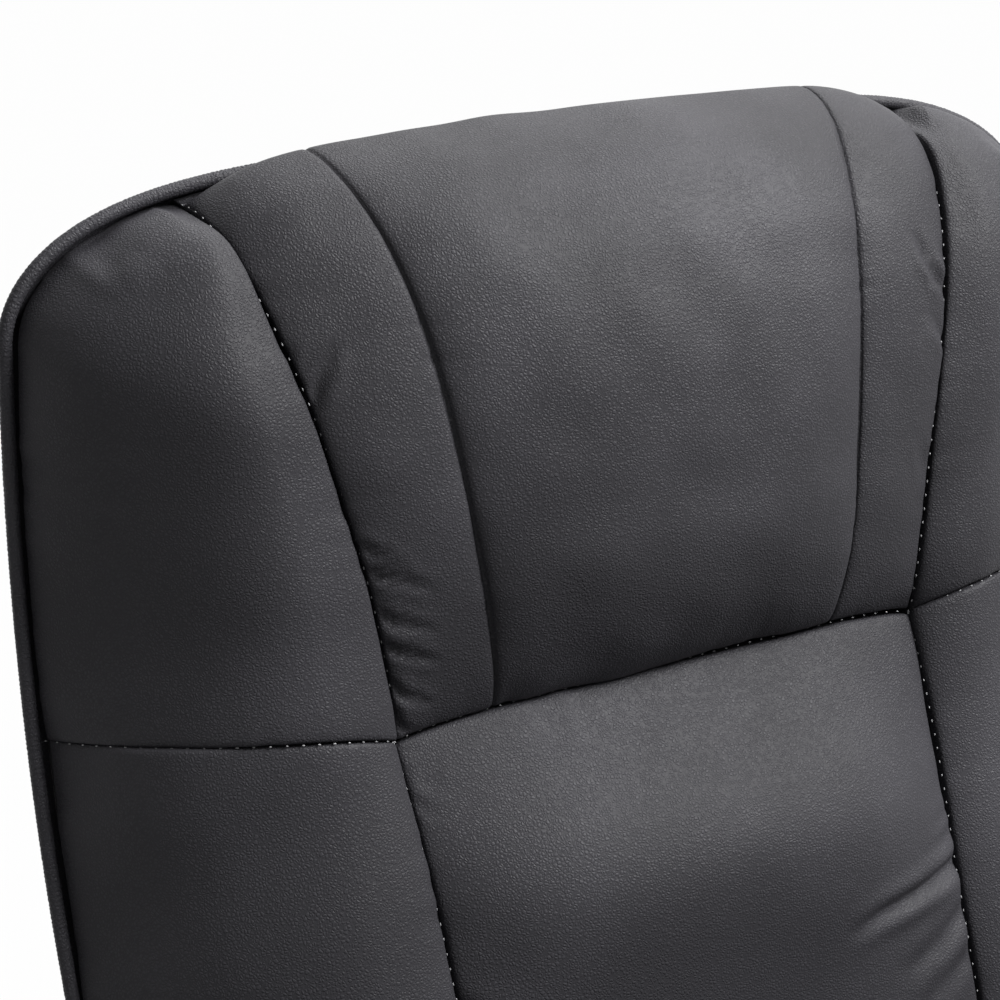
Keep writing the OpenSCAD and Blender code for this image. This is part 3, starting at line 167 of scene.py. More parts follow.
# Each soft light: its place, the point that it faces, its width and height, and its power
soft_lights = {
    "key": ((1.4, -0.85, 2.6), (0.1, 0.2, 0.95), 1.3, 1.3, 122.0),
    "top": ((1.0, 0.9, 2.7), (0.1, 0.2, 1.0), 2.0, 1.4, 45.0),
    "fill": ((-1.5, -1.6, 2.5), (0.0, 0.1, 0.9), 1.4, 1.6, 6.0),
    "rim": ((-1.6, 1.7, 1.9), (0.0, 0.3, 0.7), 1.0, 1.4, 1.5),
}
for name, (place, target, width, height, power) in soft_lights.items():
    lamp = bpy.data.lights.new(name, "AREA")
    lamp.shape = "RECTANGLE"
    lamp.size = width
    lamp.size_y = height
    lamp.energy = power
    holder = placed(name, lamp)
    holder.location = place
    holder.rotation_mode = "QUATERNION"
    holder.rotation_quaternion = (Vector(target) - Vector(place)).to_track_quat("-Z", "Y")

camera_down, camera_turn = 20, -31
camera = placed("camera", bpy.data.cameras.new("camera"))
camera.location = (-0.637, -0.645, 1.290)
camera.rotation_euler = (math.radians(90 - camera_down), 0, math.radians(camera_turn))
camera.data.lens = 90.0
camera.data.sensor_width = 36.0
camera.data.clip_start = 0.05
bpy.context.scene.camera = camera
bpy.context.scene.view_settings.view_transform = "Standard"

# Base: a ring and four legs of bent, laminated wood under a dark stain and a satin lacquer. The
# grain follows the bends, round the ring and out along each leg, and the plies show as lines.
def wood_finish(name, dark, light, grain, plies, roughness, coat):
    """Wood whose grain runs along the first number of its grain coordinates."""
    wood = Finish(name, Coat_Weight=coat, Coat_Roughness=0.22)
    along, across, depth = grain(wood)
    def fibre(run, wide, detail):
        place = wood.add("CombineXYZ", 0, {}, {0: along * run, 1: across * wide, 2: depth * wide})
        return wood.noise(1.0, detail, place)
    figure = wood.step(fibre(7.0, 70.0, 4.0), 0.32, 0.68)
    pores = wood.step(fibre(38.0, 850.0, 2.0), 0.55, 0.72)
    ply = wood.step((across * plies).math("SINE", across * plies), 0.80, 1.0)
    wood.set(
        Base_Color=wood.blend(figure * 0.75 + pores * -0.25 + ply * -0.18 + 0.15, dark, light),
        Roughness=pores * 0.16 + figure * 0.05 + roughness)
    wood.bump(pores * -0.6 + figure * 0.25 - ply * 0.2, 0.00022)
    return wood


def axes(finish):
    return [finish.add("SeparateXYZ", name, {}, {"Vector": finish.place}) for name in "XYZ"]


def ring_grain(finish):
    x, y, z = axes(finish)
    return x.math("ARCTAN2", y, x) * 0.28, (x * x + y * y) ** 0.5, z


def leg_grain(finish):
    x, y, z = axes(finish)
    one, other = (x + y).math("ABSOLUTE", x + y), (x - y).math("ABSOLUTE", x - y)
    return (one.math("MAXIMUM", one, other) * 0.71 + z,
            one.math("MINIMUM", one, other) * 0.71, z)


def dress(finish, *names):
    """Gives CAD nodes a finish."""
    for name in names:
        nodes[name].data.materials.clear()
        nodes[name].data.materials.append(finish.material)


stain_dark, stain_light = (0.020, 0.0085, 0.0050), (0.085, 0.034, 0.018)
dress(wood_finish("stained_ring_wood", stain_dark, stain_light, ring_grain, 2100.0, 0.30, 0.35),
      "base_ring")
dress(wood_finish("stained_leg_wood", stain_dark, stain_light, leg_grain, 300.0, 0.30, 0.35),
      "base_legs")

# Metalwork and plastics: powder-coated plates and tubes, zinc-plated fasteners and spindle, and
# moulded nylon for the glides, bushes, washers, blocks, tube caps and hand wheels.
powder_coat = Finish("black_powder_coat", Metallic=0.0)
orange_peel = powder_coat.noise(700.0, 2.0)
scuffs = powder_coat.step(powder_coat.noise(24.0, 5.0), 0.55, 0.75)
powder_coat.set(
    Base_Color=powder_coat.blend(scuffs, (0.013, 0.013, 0.014), (0.024, 0.024, 0.025)),
    Roughness=orange_peel * 0.10 + scuffs * 0.10 + 0.36)
powder_coat.bump(orange_peel, 0.00010)
dress(powder_coat, "hub_plate", "swivel_plate", "carrier_frame", "guide_rails",
      "side_plate_left", "side_plate_right", "back_bracket_left", "back_bracket_right",
      "seat_runners", "drive_lugs")

zinc = Finish("zinc_plate", Metallic=1.0)
drawn = zinc.noise(1.0, 3.0, zinc.stretch(90.0, 900.0, 900.0))
clouds = zinc.noise(120.0, 3.0)
zinc.set(Base_Color=zinc.blend(clouds, (0.46, 0.47, 0.49), (0.66, 0.66, 0.66)),
         Roughness=drawn * 0.14 + clouds * 0.12 + 0.20)
zinc.bump(drawn, 0.00004)
dress(zinc, "spindle", "spindle_nut", "leg_screws", "hub_bolts", "carrier_bolts", "arm_bolts",
      "pivot_bolts", "clamp_studs", "bracket_bolts", "block_bolts")

nylon = Finish("black_nylon", Specular_IOR_Level=0.45)
spark = nylon.noise(1500.0, 2.0)
haze = nylon.noise(40.0, 3.0)
nylon.set(Base_Color=nylon.blend(haze, (0.015, 0.015, 0.016), (0.026, 0.026, 0.028)),
          Roughness=spark * 0.16 + haze * 0.10 + 0.38)
nylon.bump(spark, 0.00007)
dress(nylon, "floor_glides", "thrust_washer", "swivel_bush", "tube_caps", "pivot_washers",
      "pivot_bushes", "slide_blocks", "knob_left", "knob_right")

# Boards: the moulded board inside the back and the arm boards are bare plywood, and the seat
# frame is planed softwood, all unfinished because the covers hide them.
def board_grain(finish):
    x, y, z = axes(finish)
    return y + z, x, z * 0.4 - y * 0.4


bare_wood = wood_finish("bare_board_wood", (0.27, 0.155, 0.080), (0.50, 0.33, 0.19), board_grain,
                        1900.0, 0.58, 0.0)
dress(bare_wood, "back_board", "arm_board_left", "arm_board_right", "seat_frame")

# The back's padding: leather covers over foam, sewn in panels on a moulded board. Places on it
# are in millimetres: x across it, s up its bent face from the start of the bend, and d ahead
# of the line of the piping.
pivot_y, pivot_z, pivot_depth = 231.0, 437.0, 28.0
bend_rise, bend_r, rest_lean = 290.0, 800.0, math.radians(20)
# The outline: half widths, the ends, the upper corners, the shoulders, the waist, and the foot
back_half, low_half = 292.0, 264.0
back_rise, back_drop = 325.0, 440.0
corner_rise, corner_power = 57.0, 5.0
corner_s = back_rise - corner_rise
shoulder_draw, shoulder_s = 10.0, -30.0
corner_half = back_half - shoulder_draw
waist_top, waist_low = -70.0, -190.0
low_corner_r = 40.0
# How far the piping's line goes back over the top, the piping, and how deep the layers lie
set_back, set_back_s = 19.0, 262.0
piping_r = 4.0
pad_depth, shell_depth = 70.0, 55.0
board_depth, board_rim_depth = -15.0, -20.0
# The seams: the one at the pillow's foot, the long outer ones, which flare up beside the
# pillow, the pillow's inner ones, its crest over the edge, and the gap left for a seam
seam_s, seam_d, foot_bow = 66.0, 67.0, 5.0
pillow_half, pillow_flare = 150.0, 49.0
pillow_top = pillow_half + pillow_flare
panel_half, panel_flare, panel_top_flare = 97.5, 30.0, 12.5
crest_over, crest_arch, crest_s = 16.5, 4.5, 158.0
seam_gap = 0.7


def on_spine(x, s, d):
    """Points of the back, in metres, from places across, along and ahead of its face."""
    x, s, d = np.broadcast_arrays(x, s, d)
    turn = np.maximum(s, 0) / bend_r
    y = (bend_r - d) * np.cos(turn) - bend_r - pivot_depth
    z = bend_rise + np.minimum(s, 0) + (bend_r - d) * np.sin(turn)
    lean_c, lean_s = math.cos(rest_lean), math.sin(rest_lean)
    return np.stack([
        x, pivot_y + y * lean_c + z * lean_s, pivot_z - y * lean_s + z * lean_c], -1) * MM


def mix(a, b, share): return a + (b - a) * share
def held(value): return np.clip(value, 0, 1)
def ease(value): return (1 - np.cos(np.pi * held(value))) / 2
def rolled(value): return (1 - (1 - held(value)) ** 2.1) ** 0.72
def near(distance, reach): return np.exp(-distance / reach)


def side_half(s):
    upper = back_half - shoulder_draw * held((s - shoulder_s) / (corner_s - shoulder_s)) ** 1.5
    waist = mix(back_half, low_half, ease((waist_top - s) / (waist_top - waist_low)))
    return np.where(s > shoulder_s, upper, waist)


def edge_half(s, inset):
    r = low_corner_r - inset
    above = (s + back_drop - low_corner_r) / r
    corner = low_half - low_corner_r + r * np.sqrt(np.maximum(1 - above * above, 0))
    return np.where(above < 0, corner, side_half(s) - inset)


def top_edge(x):
    return corner_s + corner_rise * np.sqrt(
        1 - np.minimum(np.abs(x) / corner_half, 1) ** corner_power)


def corner_point(turn):
    turn = np.radians(turn)
    return np.stack([corner_half * np.cos(turn) ** (2 / corner_power),
                     corner_s + corner_rise * np.sin(turn)], -1)


def groove_depth(s):
    return -set_back * (np.maximum(s - set_back_s, 0) / (back_rise - set_back_s)) ** 2


def seam_half(s):
    return pillow_half + pillow_flare * held((s - seam_s) / (back_rise - seam_s)) ** 1.55


def inner_half(s):
    f = held((s - seam_s) / (back_rise + crest_over - seam_s))
    return panel_half + panel_flare * f + panel_top_flare * f ** 8


def foot_line(u): return seam_s + foot_bow * (1 - np.abs(u) ** 6)


def close_set(length, count, first=0.4):
    """Places from 0 to 1 along a length in millimetres: even ones in the middle and finer
    ones towards both ends, where the first step is given."""
    growth, reach = 1.45, 16.0
    fine, step = [0.0], first
    while fine[-1] < reach:
        fine.append(fine[-1] + step)
        step *= growth
    fine = np.array(fine) / length
    middle = np.linspace(fine[-1], 1 - fine[-1], count)[1:-1]
    return np.concatenate([fine, middle, 1 - fine[::-1]])


class Unevenness:
    """Soft random swells of about the given size, in millimetres, from a fixed seed."""
    def __init__(self, size, seed, waves=14):
        chance = np.random.default_rng(seed)
        ways = chance.normal(size=(waves, 3))
        ways /= np.linalg.norm(ways, axis=1)[:, None]
        self.ways = ways * 2 * np.pi / (size * chance.uniform(0.7, 1.8, waves))[:, None]
        self.starts = chance.uniform(0, 2 * np.pi, waves)
        self.scale = math.sqrt(2 / waves)

    def __call__(self, points):
        return np.sin(points @ self.ways.T / MM + self.starts).sum(-1) * self.scale


def along_seam(position, size, seed):
    """Random gathers along a seam, with wavelengths near the given size."""
    chance = np.random.default_rng(seed)

    def ripple(longer):
        return sum(np.sin(position * 2 * np.pi / (size * longer * chance.uniform(0.6, 1.9))
                          + chance.uniform(0, 2 * np.pi)) for _ in range(7)) / 2.6
    return ripple(1) * held(0.45 + 0.55 * ripple(5))


def creased(x, s, creases):
    """Depth taken by creases in the leather. Each is a line of places, a half width and a
    depth; it rises a little on both sides and fades towards its far end."""
    total = np.zeros_like(x)
    for line, width, depth in creases:
        nearest, share = np.full(x.shape, 1e9), np.zeros_like(x)
        spans = len(line) - 1
        for i in range(spans):
            a, b = np.array(line[i], float), np.array(line[i + 1], float)
            way = b - a
            t = held(((x - a[0]) * way[0] + (s - a[1]) * way[1]) / (way @ way))
            gap = np.hypot(x - a[0] - t * way[0], s - a[1] - t * way[1])
            share = np.where(gap < nearest, (i + t) / spans, share)
            nearest = np.minimum(gap, nearest)
        fade = (1 - share ** 2) * mix(0.6, 1, held(share / 0.15))
        total += depth * fade * (0.5 * np.exp(-((nearest / width - 2.4) / 1.3) ** 2)
                                 - np.exp(-(nearest / width) ** 2))
    return total


def raised(front, height):
    """A grid of points moved along its own normals by heights in millimetres."""
    across = np.gradient(front, axis=1)
    upward = np.gradient(front, axis=0)
    normal = np.cross(across, upward)
    normal /= np.maximum(np.linalg.norm(normal, axis=-1, keepdims=True), 1e-12)
    return front + normal * (height * MM)[..., None]


def outward_mesh(name, points, faces, join=None):
    """A mesh with its faces turned outwards; points within the join distance become one."""
    mesh = bpy.data.meshes.new(name)
    mesh.from_pydata([tuple(p) for p in np.asarray(points).reshape(-1, 3)], [], faces)
    work = bmesh.new()
    work.from_mesh(mesh)
    if join is not None:
        bmesh.ops.remove_doubles(work, verts=work.verts, dist=join)
    bmesh.ops.recalc_face_normals(work, faces=work.faces)
    work.to_mesh(mesh)
    work.free()
    return mesh


def riding(name, mesh, body):
    """A mesh as a smooth piece that rides on a body."""
    mesh.polygons.foreach_set("use_smooth", [True] * len(mesh.polygons))
    made = placed(name, mesh)
    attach(made, body)
    return made


def piece(name, points, faces, finish, body):
    """A mesh piece in one finish, with its faces turned outwards."""
    mesh = outward_mesh(name, points, faces)
    mesh.materials.append(finish.material)
    return riding(name, mesh, body)


def grid_faces(rows, cols):
    """The faces of a grid of points, and the numbers of the points round its rim."""
    index = np.arange(rows * cols).reshape(rows, cols)
    quads = np.stack([index[:-1, :-1], index[:-1, 1:], index[1:, 1:], index[1:, :-1]], -1)
    rim = np.concatenate([index[0, :-1], index[:-1, -1], index[-1, :0:-1], index[:0:-1, 0]])
    return quads.reshape(-1, 4), rim


def shell(name, front, rear, finish, body, *stands_for):
    """A closed cover: the front grid, its rim carried back to the rear grid's, and a rear."""
    quads, rim = grid_faces(*front.shape[:2])
    front_rim, rear_rim = front.reshape(-1, 3)[rim], rear.reshape(-1, 3)[rim]
    points, faces, last = [front.reshape(-1, 3)], quads.tolist(), rim
    for share in (0.25, 0.6, 1.0):
        ring = sum(map(len, points)) + np.arange(len(rim))
        points.append(mix(front_rim, rear_rim, share))
        faces += np.stack([last, ring, np.roll(ring, -1), np.roll(last, -1)], -1).tolist()
        last = ring
    centre = sum(map(len, points))
    points.append(rear_rim.mean(0, keepdims=True))
    faces += [(int(a), centre, int(b)) for a, b in zip(last, np.roll(last, -1))]
    made = piece(name, np.concatenate(points), faces, finish, body)
    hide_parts(*stands_for)
    return made


def leather_finish(name, painted_shade=1.0):
    """Charcoal faux leather: a fine pebble grain with small creases, semi-matt, and a
    little greyer in soft random patches."""
    leather = Finish(name, Specular_IOR_Level=0.15)
    drift = leather.noise(260.0, 2.0, output="Color")
    place = leather.add("VectorMath", 0, {"operation": "MULTIPLY_ADD"}, {
        0: drift, 1: (0.0012,) * 3, 2: leather.place})
    pebble = leather.step(leather.cells(620.0, place), 0.02, 0.36)
    lines = leather.step(
        leather.cells(210.0, leather.stretch(1.0, 1.0, 1.9, place)), 0.0, 0.09)
    patches = leather.noise(9.0, 3.0)
    fine = leather.noise(1900.0, 1.0)
    broad = leather.noise(55.0, 3.0)
    line_share = leather.step(patches, 0.42, 0.66)
    height = pebble * 0.55 + lines * line_share * 0.12 + fine * 0.14 + broad * 0.6
    leather.bump(height, 0.00030)
    # A factor below 1 darkens both tones of the leather: painted shade, for covers that turn away
    # from the lights.
    dark = tuple(painted_shade * c for c in (0.0280, 0.0272, 0.0309))
    light = tuple(painted_shade * c for c in (0.0490, 0.0477, 0.0542))
    leather.set(
        Base_Color=leather.blend(
            leather.step(patches + pebble * 0.22 - 0.11, 0.28, 0.80), dark, light),
        Roughness=0.47 - pebble * 0.06 + broad * 0.08 - line_share * 0.03)
    return leather


leather = leather_finish("charcoal_leather")

# Head pillow: an overstuffed cushion of a wide middle panel between two side panels, sewn with
# inner seams that run over its crest, and sewn down along its foot and its outer seams.
panel_places = close_set(115.0, 74) * 2 - 1
side_places = close_set(58.0, 16)
lateral = np.concatenate([
    -1 - side_places[::-1], panel_places[1:-1], 1 + side_places])
foot_rows = np.linspace(0, 1, 44) ** 1.9
arc_rows = np.linspace(0, 90, 118)[1:]
tail_rows = np.linspace(0, 90, 26)[1:]
# How high the pillow's inner seams stand over the seam at its foot, at the crest, how much
# higher its middle does, and how high its right and left outer seams stand
inner_height, middle_swell, side_swell = 22.0, 16.0, 4.0
seam_heights = 10.0, 16.0


def pillow_shape():
    v = np.abs(lateral)[None, :]
    side = held(v - 1)
    share = np.where(v < 1, 0.6 * v, 0.6 + 0.4 * side)
    edge = top_edge(share * pillow_top)
    over = crest_over * (1 - share ** 7) + crest_arch * (1 - np.minimum(v, 1) ** 2)
    crest = seam_d + np.where(
        v < 1, inner_height + middle_swell * (1 - np.minimum(v, 1) ** 3) ** 0.6,
        mix(inner_height, np.where(lateral < 0, *seam_heights), side)
        + side_swell * (4 * side * (1 - side)) ** 0.6)
    foot = foot_rows[:, None]
    arc = np.radians(arc_rows)[:, None]
    tail = np.radians(tail_rows)[:, None]
    s = np.concatenate([
        mix(foot_line(share), crest_s, foot),
        mix(crest_s, edge + over, np.sin(arc) ** (2 / 2.4)),
        edge + (over + seam_gap) * np.cos(tail) - seam_gap])
    d = np.concatenate([
        mix(seam_d, crest, rolled(foot)),
        crest * np.cos(arc),
        (groove_depth(edge) + piping_r + 0.3) * np.sin(tail)])
    inner, outer = inner_half(s), seam_half(s) - seam_gap / 2
    x = np.sign(lateral)[None, :] * np.where(v < 1, inner * v, mix(inner, outer, side))
    return x, s, d, inner, outer, foot_line(share), edge


back_seams = []
x, s, d, inner, outer, foot_s, edge = pillow_shape()
to_inner, to_outer = np.abs(np.abs(x) - inner), outer - np.abs(x)
front = on_spine(x, s, d)
to_foot = np.maximum(s - foot_s, 0)
seam_sink = -1.5 * near(to_inner, 0.7) - 1.8 * near(to_outer, 0.9)
foot_sink = -1.8 * near(to_foot, 1.0) * (d > 0)
gathers = (0.32 * near(to_outer, 9.0) * along_seam(s, 19.0, 3)
           + 0.22 * near(to_inner, 6.0) * along_seam(s, 13.0, 5)
           + 0.45 * near(to_foot, 14.0) * along_seam(x, 21.0, 7))
pillow_creases = [
    ([(-176, 241), (-170, 257), (-163, 270)], 2.8, 2.8),
    ([(-177, 257), (-173, 266), (-169, 275)], 1.8, 1.2),
    ([(-160, 170), (-152, 163), (-138, 152)], 1.9, 2.6),
    ([(-158, 158), (-149, 152), (-129, 143)], 2.0, 3.5),
    ([(-154, 135), (-149, 129), (-128, 121)], 1.9, 3.1),
    ([(-153, 118), (-147, 113), (-127, 104)], 1.9, 3.1),
    ([(-151, 98), (-147, 91), (-131, 82)], 1.8, 2.8),
    ([(-150, 82), (-148, 75), (-139, 66)], 1.7, 2.2),
    ([(-197, 319), (-193, 324), (-181, 334)], 3.5, 1.5),
    ([(176, 244), (166, 262), (160, 280)], 2.8, 3.4),
    ([(171, 216), (167, 227), (163, 238)], 2.4, 2.4),
    ([(154, 146), (151, 158), (146, 172)], 2.8, 1.4),
]
front = raised(front, seam_sink + foot_sink + gathers
               + creased(x, s, pillow_creases) * (1 - 0.8 * near(to_outer, 3.0))
               + 0.7 * Unevenness(85.0, 11)(front) + 0.25 * Unevenness(30.0, 12)(front))
lifted = raised(on_spine(x, s, d), np.full(x.shape, -0.4))
back_seams += [lifted[:-4, k] for k in (0, -1)] + [lifted[1]]
rear = on_spine(x, np.minimum(s, edge - seam_gap),
                np.where(s > 300, board_rim_depth, board_depth))
shell("head_pillow_cover", front, rear, leather, "back", "head_pillow")

# Bolsters: long pads down both sides of the back, parted by a stitched seam level with the
# pillow's foot. They fall away to the piping, and the upper ones turn the back's corners.
tuck = 6.9
upper_crown, upper_end_crown, lower_crown, seam_crown = 6.0, 0.5, 8.0, 15.0
crown_share = 0.24
# How steeply each side's pads rise from their inner seams: the less, the steeper
seam_rises = {"right": 0.36, "left": 0.80}
side_pad_depth = pad_depth + 8.0
bolster_over, edge_bulge = 6.0, 3.0
# How far the lower pads' seam allowance goes up behind the upper ones, which closes the seam
seam_overlap = 14.0
# How much higher that seam ends at the edge than at the pillow, the share of the upper pads'
# edge that runs up the back's side, and how far the rest turns round its corner, in degrees
seam_climb, side_share, corner_turn = 25.0, 0.62, 62.0
# How the pads round off at the back's foot
foot_r = 60.0


def side_seam_depth(s, height):
    crest, top = seam_d + height, top_edge(pillow_top)
    below = mix(seam_d, crest, rolled((s - seam_s) / (crest_s - seam_s)))
    above = crest * np.sqrt(1 - held((s - crest_s) / (top - crest_s)) ** 2.6)
    return np.where(s < crest_s, below, above)


def bolster_depth(e, inner_d, edge_d, crown, power):
    rise = inner_d + crown * (1 - (1 - np.minimum(e / crown_share, 1)) ** 2) ** power
    past = held((e - crown_share) / (1 - crown_share))
    fall = mix(edge_d, inner_d + crown, (1 - past ** 1.9) ** 0.92)
    return np.where(e < crown_share, rise, fall)


def seam_bow(e): return seam_climb * (e ** 0.62 - e)


def bolster_edge(f):
    s = mix(seam_s + seam_climb, corner_s, f / side_share)
    straight = np.stack([side_half(s), s], -1)
    corner = corner_point(corner_turn * held((f - side_share) / (1 - side_share)))
    return np.where((f < side_share)[..., None], straight, corner)


def upper_bolster(top_bulge, power, height):
    e = close_set(115.0, 40)[None, :]
    f = (0.985 * close_set(250.0, 96))[:, None]
    s_in = mix(seam_s, top_edge(pillow_top) - 2 * seam_gap, f)
    inner_x, inner_s = seam_half(s_in) + seam_gap / 2, s_in + seam_gap / 2
    outer = bolster_edge(f)
    out_x, out_s = outer[..., 0], outer[..., 1]
    x = mix(inner_x, out_x, e)
    near_top = held((f - 0.8) / 0.2)
    over = bolster_over * (1 - e) * np.sin(np.pi * near_top ** 2)
    s = mix(inner_s, out_s, e) + seam_bow(e) * (1 - f) ** 3 + over
    way = np.gradient(outer, axis=0)
    way /= np.linalg.norm(way, axis=-1, keepdims=True)
    bulge = mix(edge_bulge, top_bulge, ease((f - 0.66) / 0.24)) * np.sin(np.pi * e ** 3)
    x, s = x + way[..., 1] * bulge, s - way[..., 0] * bulge
    edge_d = groove_depth(out_s) + 2.0
    inner_d = np.maximum(side_seam_depth(s_in, height), groove_depth(s_in) + 2.0)
    narrow = held((out_x - inner_x) / (side_half(np.array(seam_s)) - pillow_half))
    swell = mix(mix(upper_crown, upper_end_crown, f), seam_crown, (1 - f) ** 6) * narrow ** 0.3
    d = bolster_depth(e, inner_d, edge_d, swell, power)
    rear_d = np.where(s > 294, board_rim_depth, board_depth)
    pulled = mix(1.0, 1 - tuck / np.maximum(out_x, 1), e)
    return x, s, d, x * pulled, np.minimum(s, out_s), rear_d, e, f


def lower_bolster(power):
    e = close_set(120.0, 40)[None, :]
    f = close_set(500.0, 130)[:, None]
    s_in = mix(-back_drop, seam_s - seam_gap / 2, f)
    s_out = mix(-back_drop, seam_s + seam_climb - seam_gap / 2, f)
    x_in = lumbar_half(s_in) + seam_gap / 2
    x = mix(x_in, edge_half(s_out, 0.2), e) + edge_bulge * np.sin(np.pi * e ** 3)
    s = mix(s_in, s_out, e) + seam_bow(e) * f ** 6
    at_seam = f ** 10
    swell = mix(lower_crown, seam_crown, at_seam)
    inner_d = mix(side_pad_depth, seam_d, at_seam)
    d = bolster_depth(e, inner_d, 2.0, swell, power) * foot_share(s_in)
    x_rear = mix(x_in, edge_half(np.maximum(s_out, tuck - back_drop), tuck), e)
    s_rear = np.maximum(s, tuck - back_drop) + seam_overlap * f ** 40
    return x, s, d, x_rear, s_rear, board_depth, e, f


def lumbar_half(s): return pillow_half - 4.0 * held((seam_s - s) / (2 * seam_s))


def foot_share(s):
    f = held((foot_r - back_drop - s) / foot_r)
    return 0.5 + 0.5 * np.sqrt(1 - f * f)


# How far the upper bolsters swell over the piping at the corners; the left one is fuller
top_bulges = {"right": 4.0, "left": 9.0}
upper_creases = {
    "right": [
        ([(-286, 211), (-272, 224), (-256, 238)], 5.0, 1.3),
        ([(-286, 196), (-274, 203), (-262, 211)], 4.5, 1.1),
        ([(-247, 305), (-238, 311), (-229, 314)], 3.0, 2.0),
    ],
    "left": [
        ([(286, 205), (272, 216), (258, 228)], 4.5, 1.1),
        ([(247, 305), (238, 311), (229, 314)], 3.0, 1.4),
    ],
}


def bolster_cover(name, side, pad, from_seam, edge_gathers, swell, creases=()):
    """One pad of a side: drawn in at its seams, with gathers along its outer edge, its inner
    seam and the seam across, each by their height, reach, size and seed, and soft swells."""
    x, s, d, rear_x, rear_s, rear_d, e, f = pad
    front = on_spine(side * x, s, d)
    width = x[:, -1:] - x[:, :1]
    to_in, to_out = e * width, (1 - e) * width
    sunk = (-1.8 * near(to_in, 0.9) - 1.2 * near(from_seam, 0.9)
            - 0.4 * near(to_out, 1.5) * np.ones_like(x))
    gathers = sum(
        height * near(distance, reach) * along_seam(run, size, seed + side)
        for (height, reach, size, seed), distance, run in zip(
            edge_gathers, (to_out, to_in, from_seam), (s, s, x)))
    swell_height, swell_size, swell_seed = swell
    front = raised(front, side * (
        sunk + gathers + creased(side * x, s, creases)
        + swell_height * Unevenness(swell_size, swell_seed + side)(front)))
    shell(name + "_cover", front, on_spine(side * rear_x, rear_s, rear_d * np.ones_like(x)),
          leather, "back", name)


for side, name, height in ((-1, "right", seam_heights[0]), (1, "left", seam_heights[1])):
    pad = upper_bolster(top_bulges[name], seam_rises[name], height)
    bolster_cover(
        "upper_bolster_" + name, side, pad, pad[-1] * 240.0,
        ((0.45, 12.0, 19.0, 21), (0.35, 10.0, 17.0, 31), (0.30, 8.0, 14.0, 41)),
        (0.7, 70.0, 51), upper_creases[name])
    pad = lower_bolster(seam_rises[name])
    x, s, d = pad[:3]
    back_seams.append(on_spine(side * x[-1], s[-1] + 0.3, d[-1] - 0.3))
    bolster_cover(
        "lower_bolster_" + name, side, pad, (1 - pad[-1]) * 510.0,
        ((0.5, 14.0, 24.0, 61), (0.40, 10.0, 19.0, 71), (0.28, 8.0, 14.0, 81)),
        (0.9, 95.0, 91))

# Lumbar cushion: the wide panel below the pillow, crowned between its two long seams, with the
# folds that its leather has where it is drawn down into the corners and the right-hand seam.
lumbar_crown, lumbar_swell, swell_s, swell_reach = 10.0, 19.0, -26.0, 66.0
u = (close_set(150.0, 96) * 2 - 1)[None, :]
f = (1 - (1 - close_set(250.0, 150)) ** 1.15)[:, None]
top = foot_line(u) - seam_gap
s = mix(-back_drop, top, f)
half = lumbar_half(s) - seam_gap / 2
crown = (lumbar_crown + lumbar_swell * np.exp(-((s - swell_s) / swell_reach) ** 2)) * (
    1 - np.abs(u) ** 3) ** 0.9
d = mix(seam_d, side_pad_depth + crown,
        (1 - (1 - held((top - s) / 110.0)) ** 2) ** 0.85) * foot_share(s)
x = u * half
front = on_spine(x, s, d)
to_side, to_top = (1 - np.abs(u)) * half, top - s
lumbar_creases = [
    ([(148, -67), (116, -74), (83, -78), (60, -84)], 3.3, 4.6),
    ([(147, -90), (124, -104), (92, -113)], 4.2, 2.8),
    ([(147, -114), (122, -126), (96, -136)], 4.0, 1.6),
    ([(147, -50), (134, -55), (120, -57)], 2.2, 1.0),
    ([(147, -40), (136, -44), (126, -45)], 1.8, 0.7),
    ([(-148, 60), (-143, 61), (-136, 57)], 1.6, 0.9),
    ([(-147, 52), (-139, 42), (-132, 33)], 1.8, 1.3),
    ([(-147, 36), (-140, 28), (-132, 22)], 1.8, 0.9),
    ([(-147, -60), (-134, -74), (-116, -82)], 3.0, 1.3),
]
gathers = (0.25 * near(to_side, 11.0) * along_seam(s + 0 * x, 24.0, 101)
           + 0.35 * near(to_top, 12.0) * along_seam(x, 20.0, 103))
front = raised(front, -1.8 * near(to_side, 0.9) - 1.4 * near(to_top, 0.9) + gathers
               + creased(x, s, lumbar_creases) * (1 - 0.8 * near(to_side, 3.0))
               + 0.9 * Unevenness(110.0, 105)(front))
back_seams += [on_spine(x[:, k], s[:, 0], d[:, k] - 0.3) for k in (0, -1)]
rear = on_spine(x, np.maximum(s, tuck - back_drop), board_depth)
shell("lumbar_cover", front, rear, leather, "back", "lumbar_cushion")

# The back's outline carries the welt, the boxing and the rear cover. It is traced up the left
# side, over the top and down the right, evenly enough for the leather's small gathers.
def back_outline(corner_steps=46, side_steps=90, low_steps=16):
    low = np.radians(np.linspace(0, 90, low_steps, endpoint=False))
    side_s = np.linspace(low_corner_r - back_drop, corner_s, side_steps, endpoint=False)
    left = np.concatenate([
        np.stack([low_half - low_corner_r * (1 - np.sin(low)),
                  low_corner_r * (1 - np.cos(low)) - back_drop], -1),
        np.stack([side_half(side_s), side_s], -1),
        corner_point(np.linspace(0, 86, corner_steps))])
    top = np.stack([np.linspace(left[-1, 0], -left[-1, 0], 50), np.zeros(50)], -1)[1:-1]
    top[:, 1] = top_edge(top[:, 0])
    return np.concatenate([left, top, left[::-1] * (-1, 1)]), low_steps


def outward_of(line):
    """Outward directions of a closed outline that runs anticlockwise."""
    way = np.roll(line, -1, 0) - np.roll(line, 1, 0)
    way /= np.linalg.norm(way, axis=1)[:, None]
    return np.stack([way[:, 1], -way[:, 0]], -1)


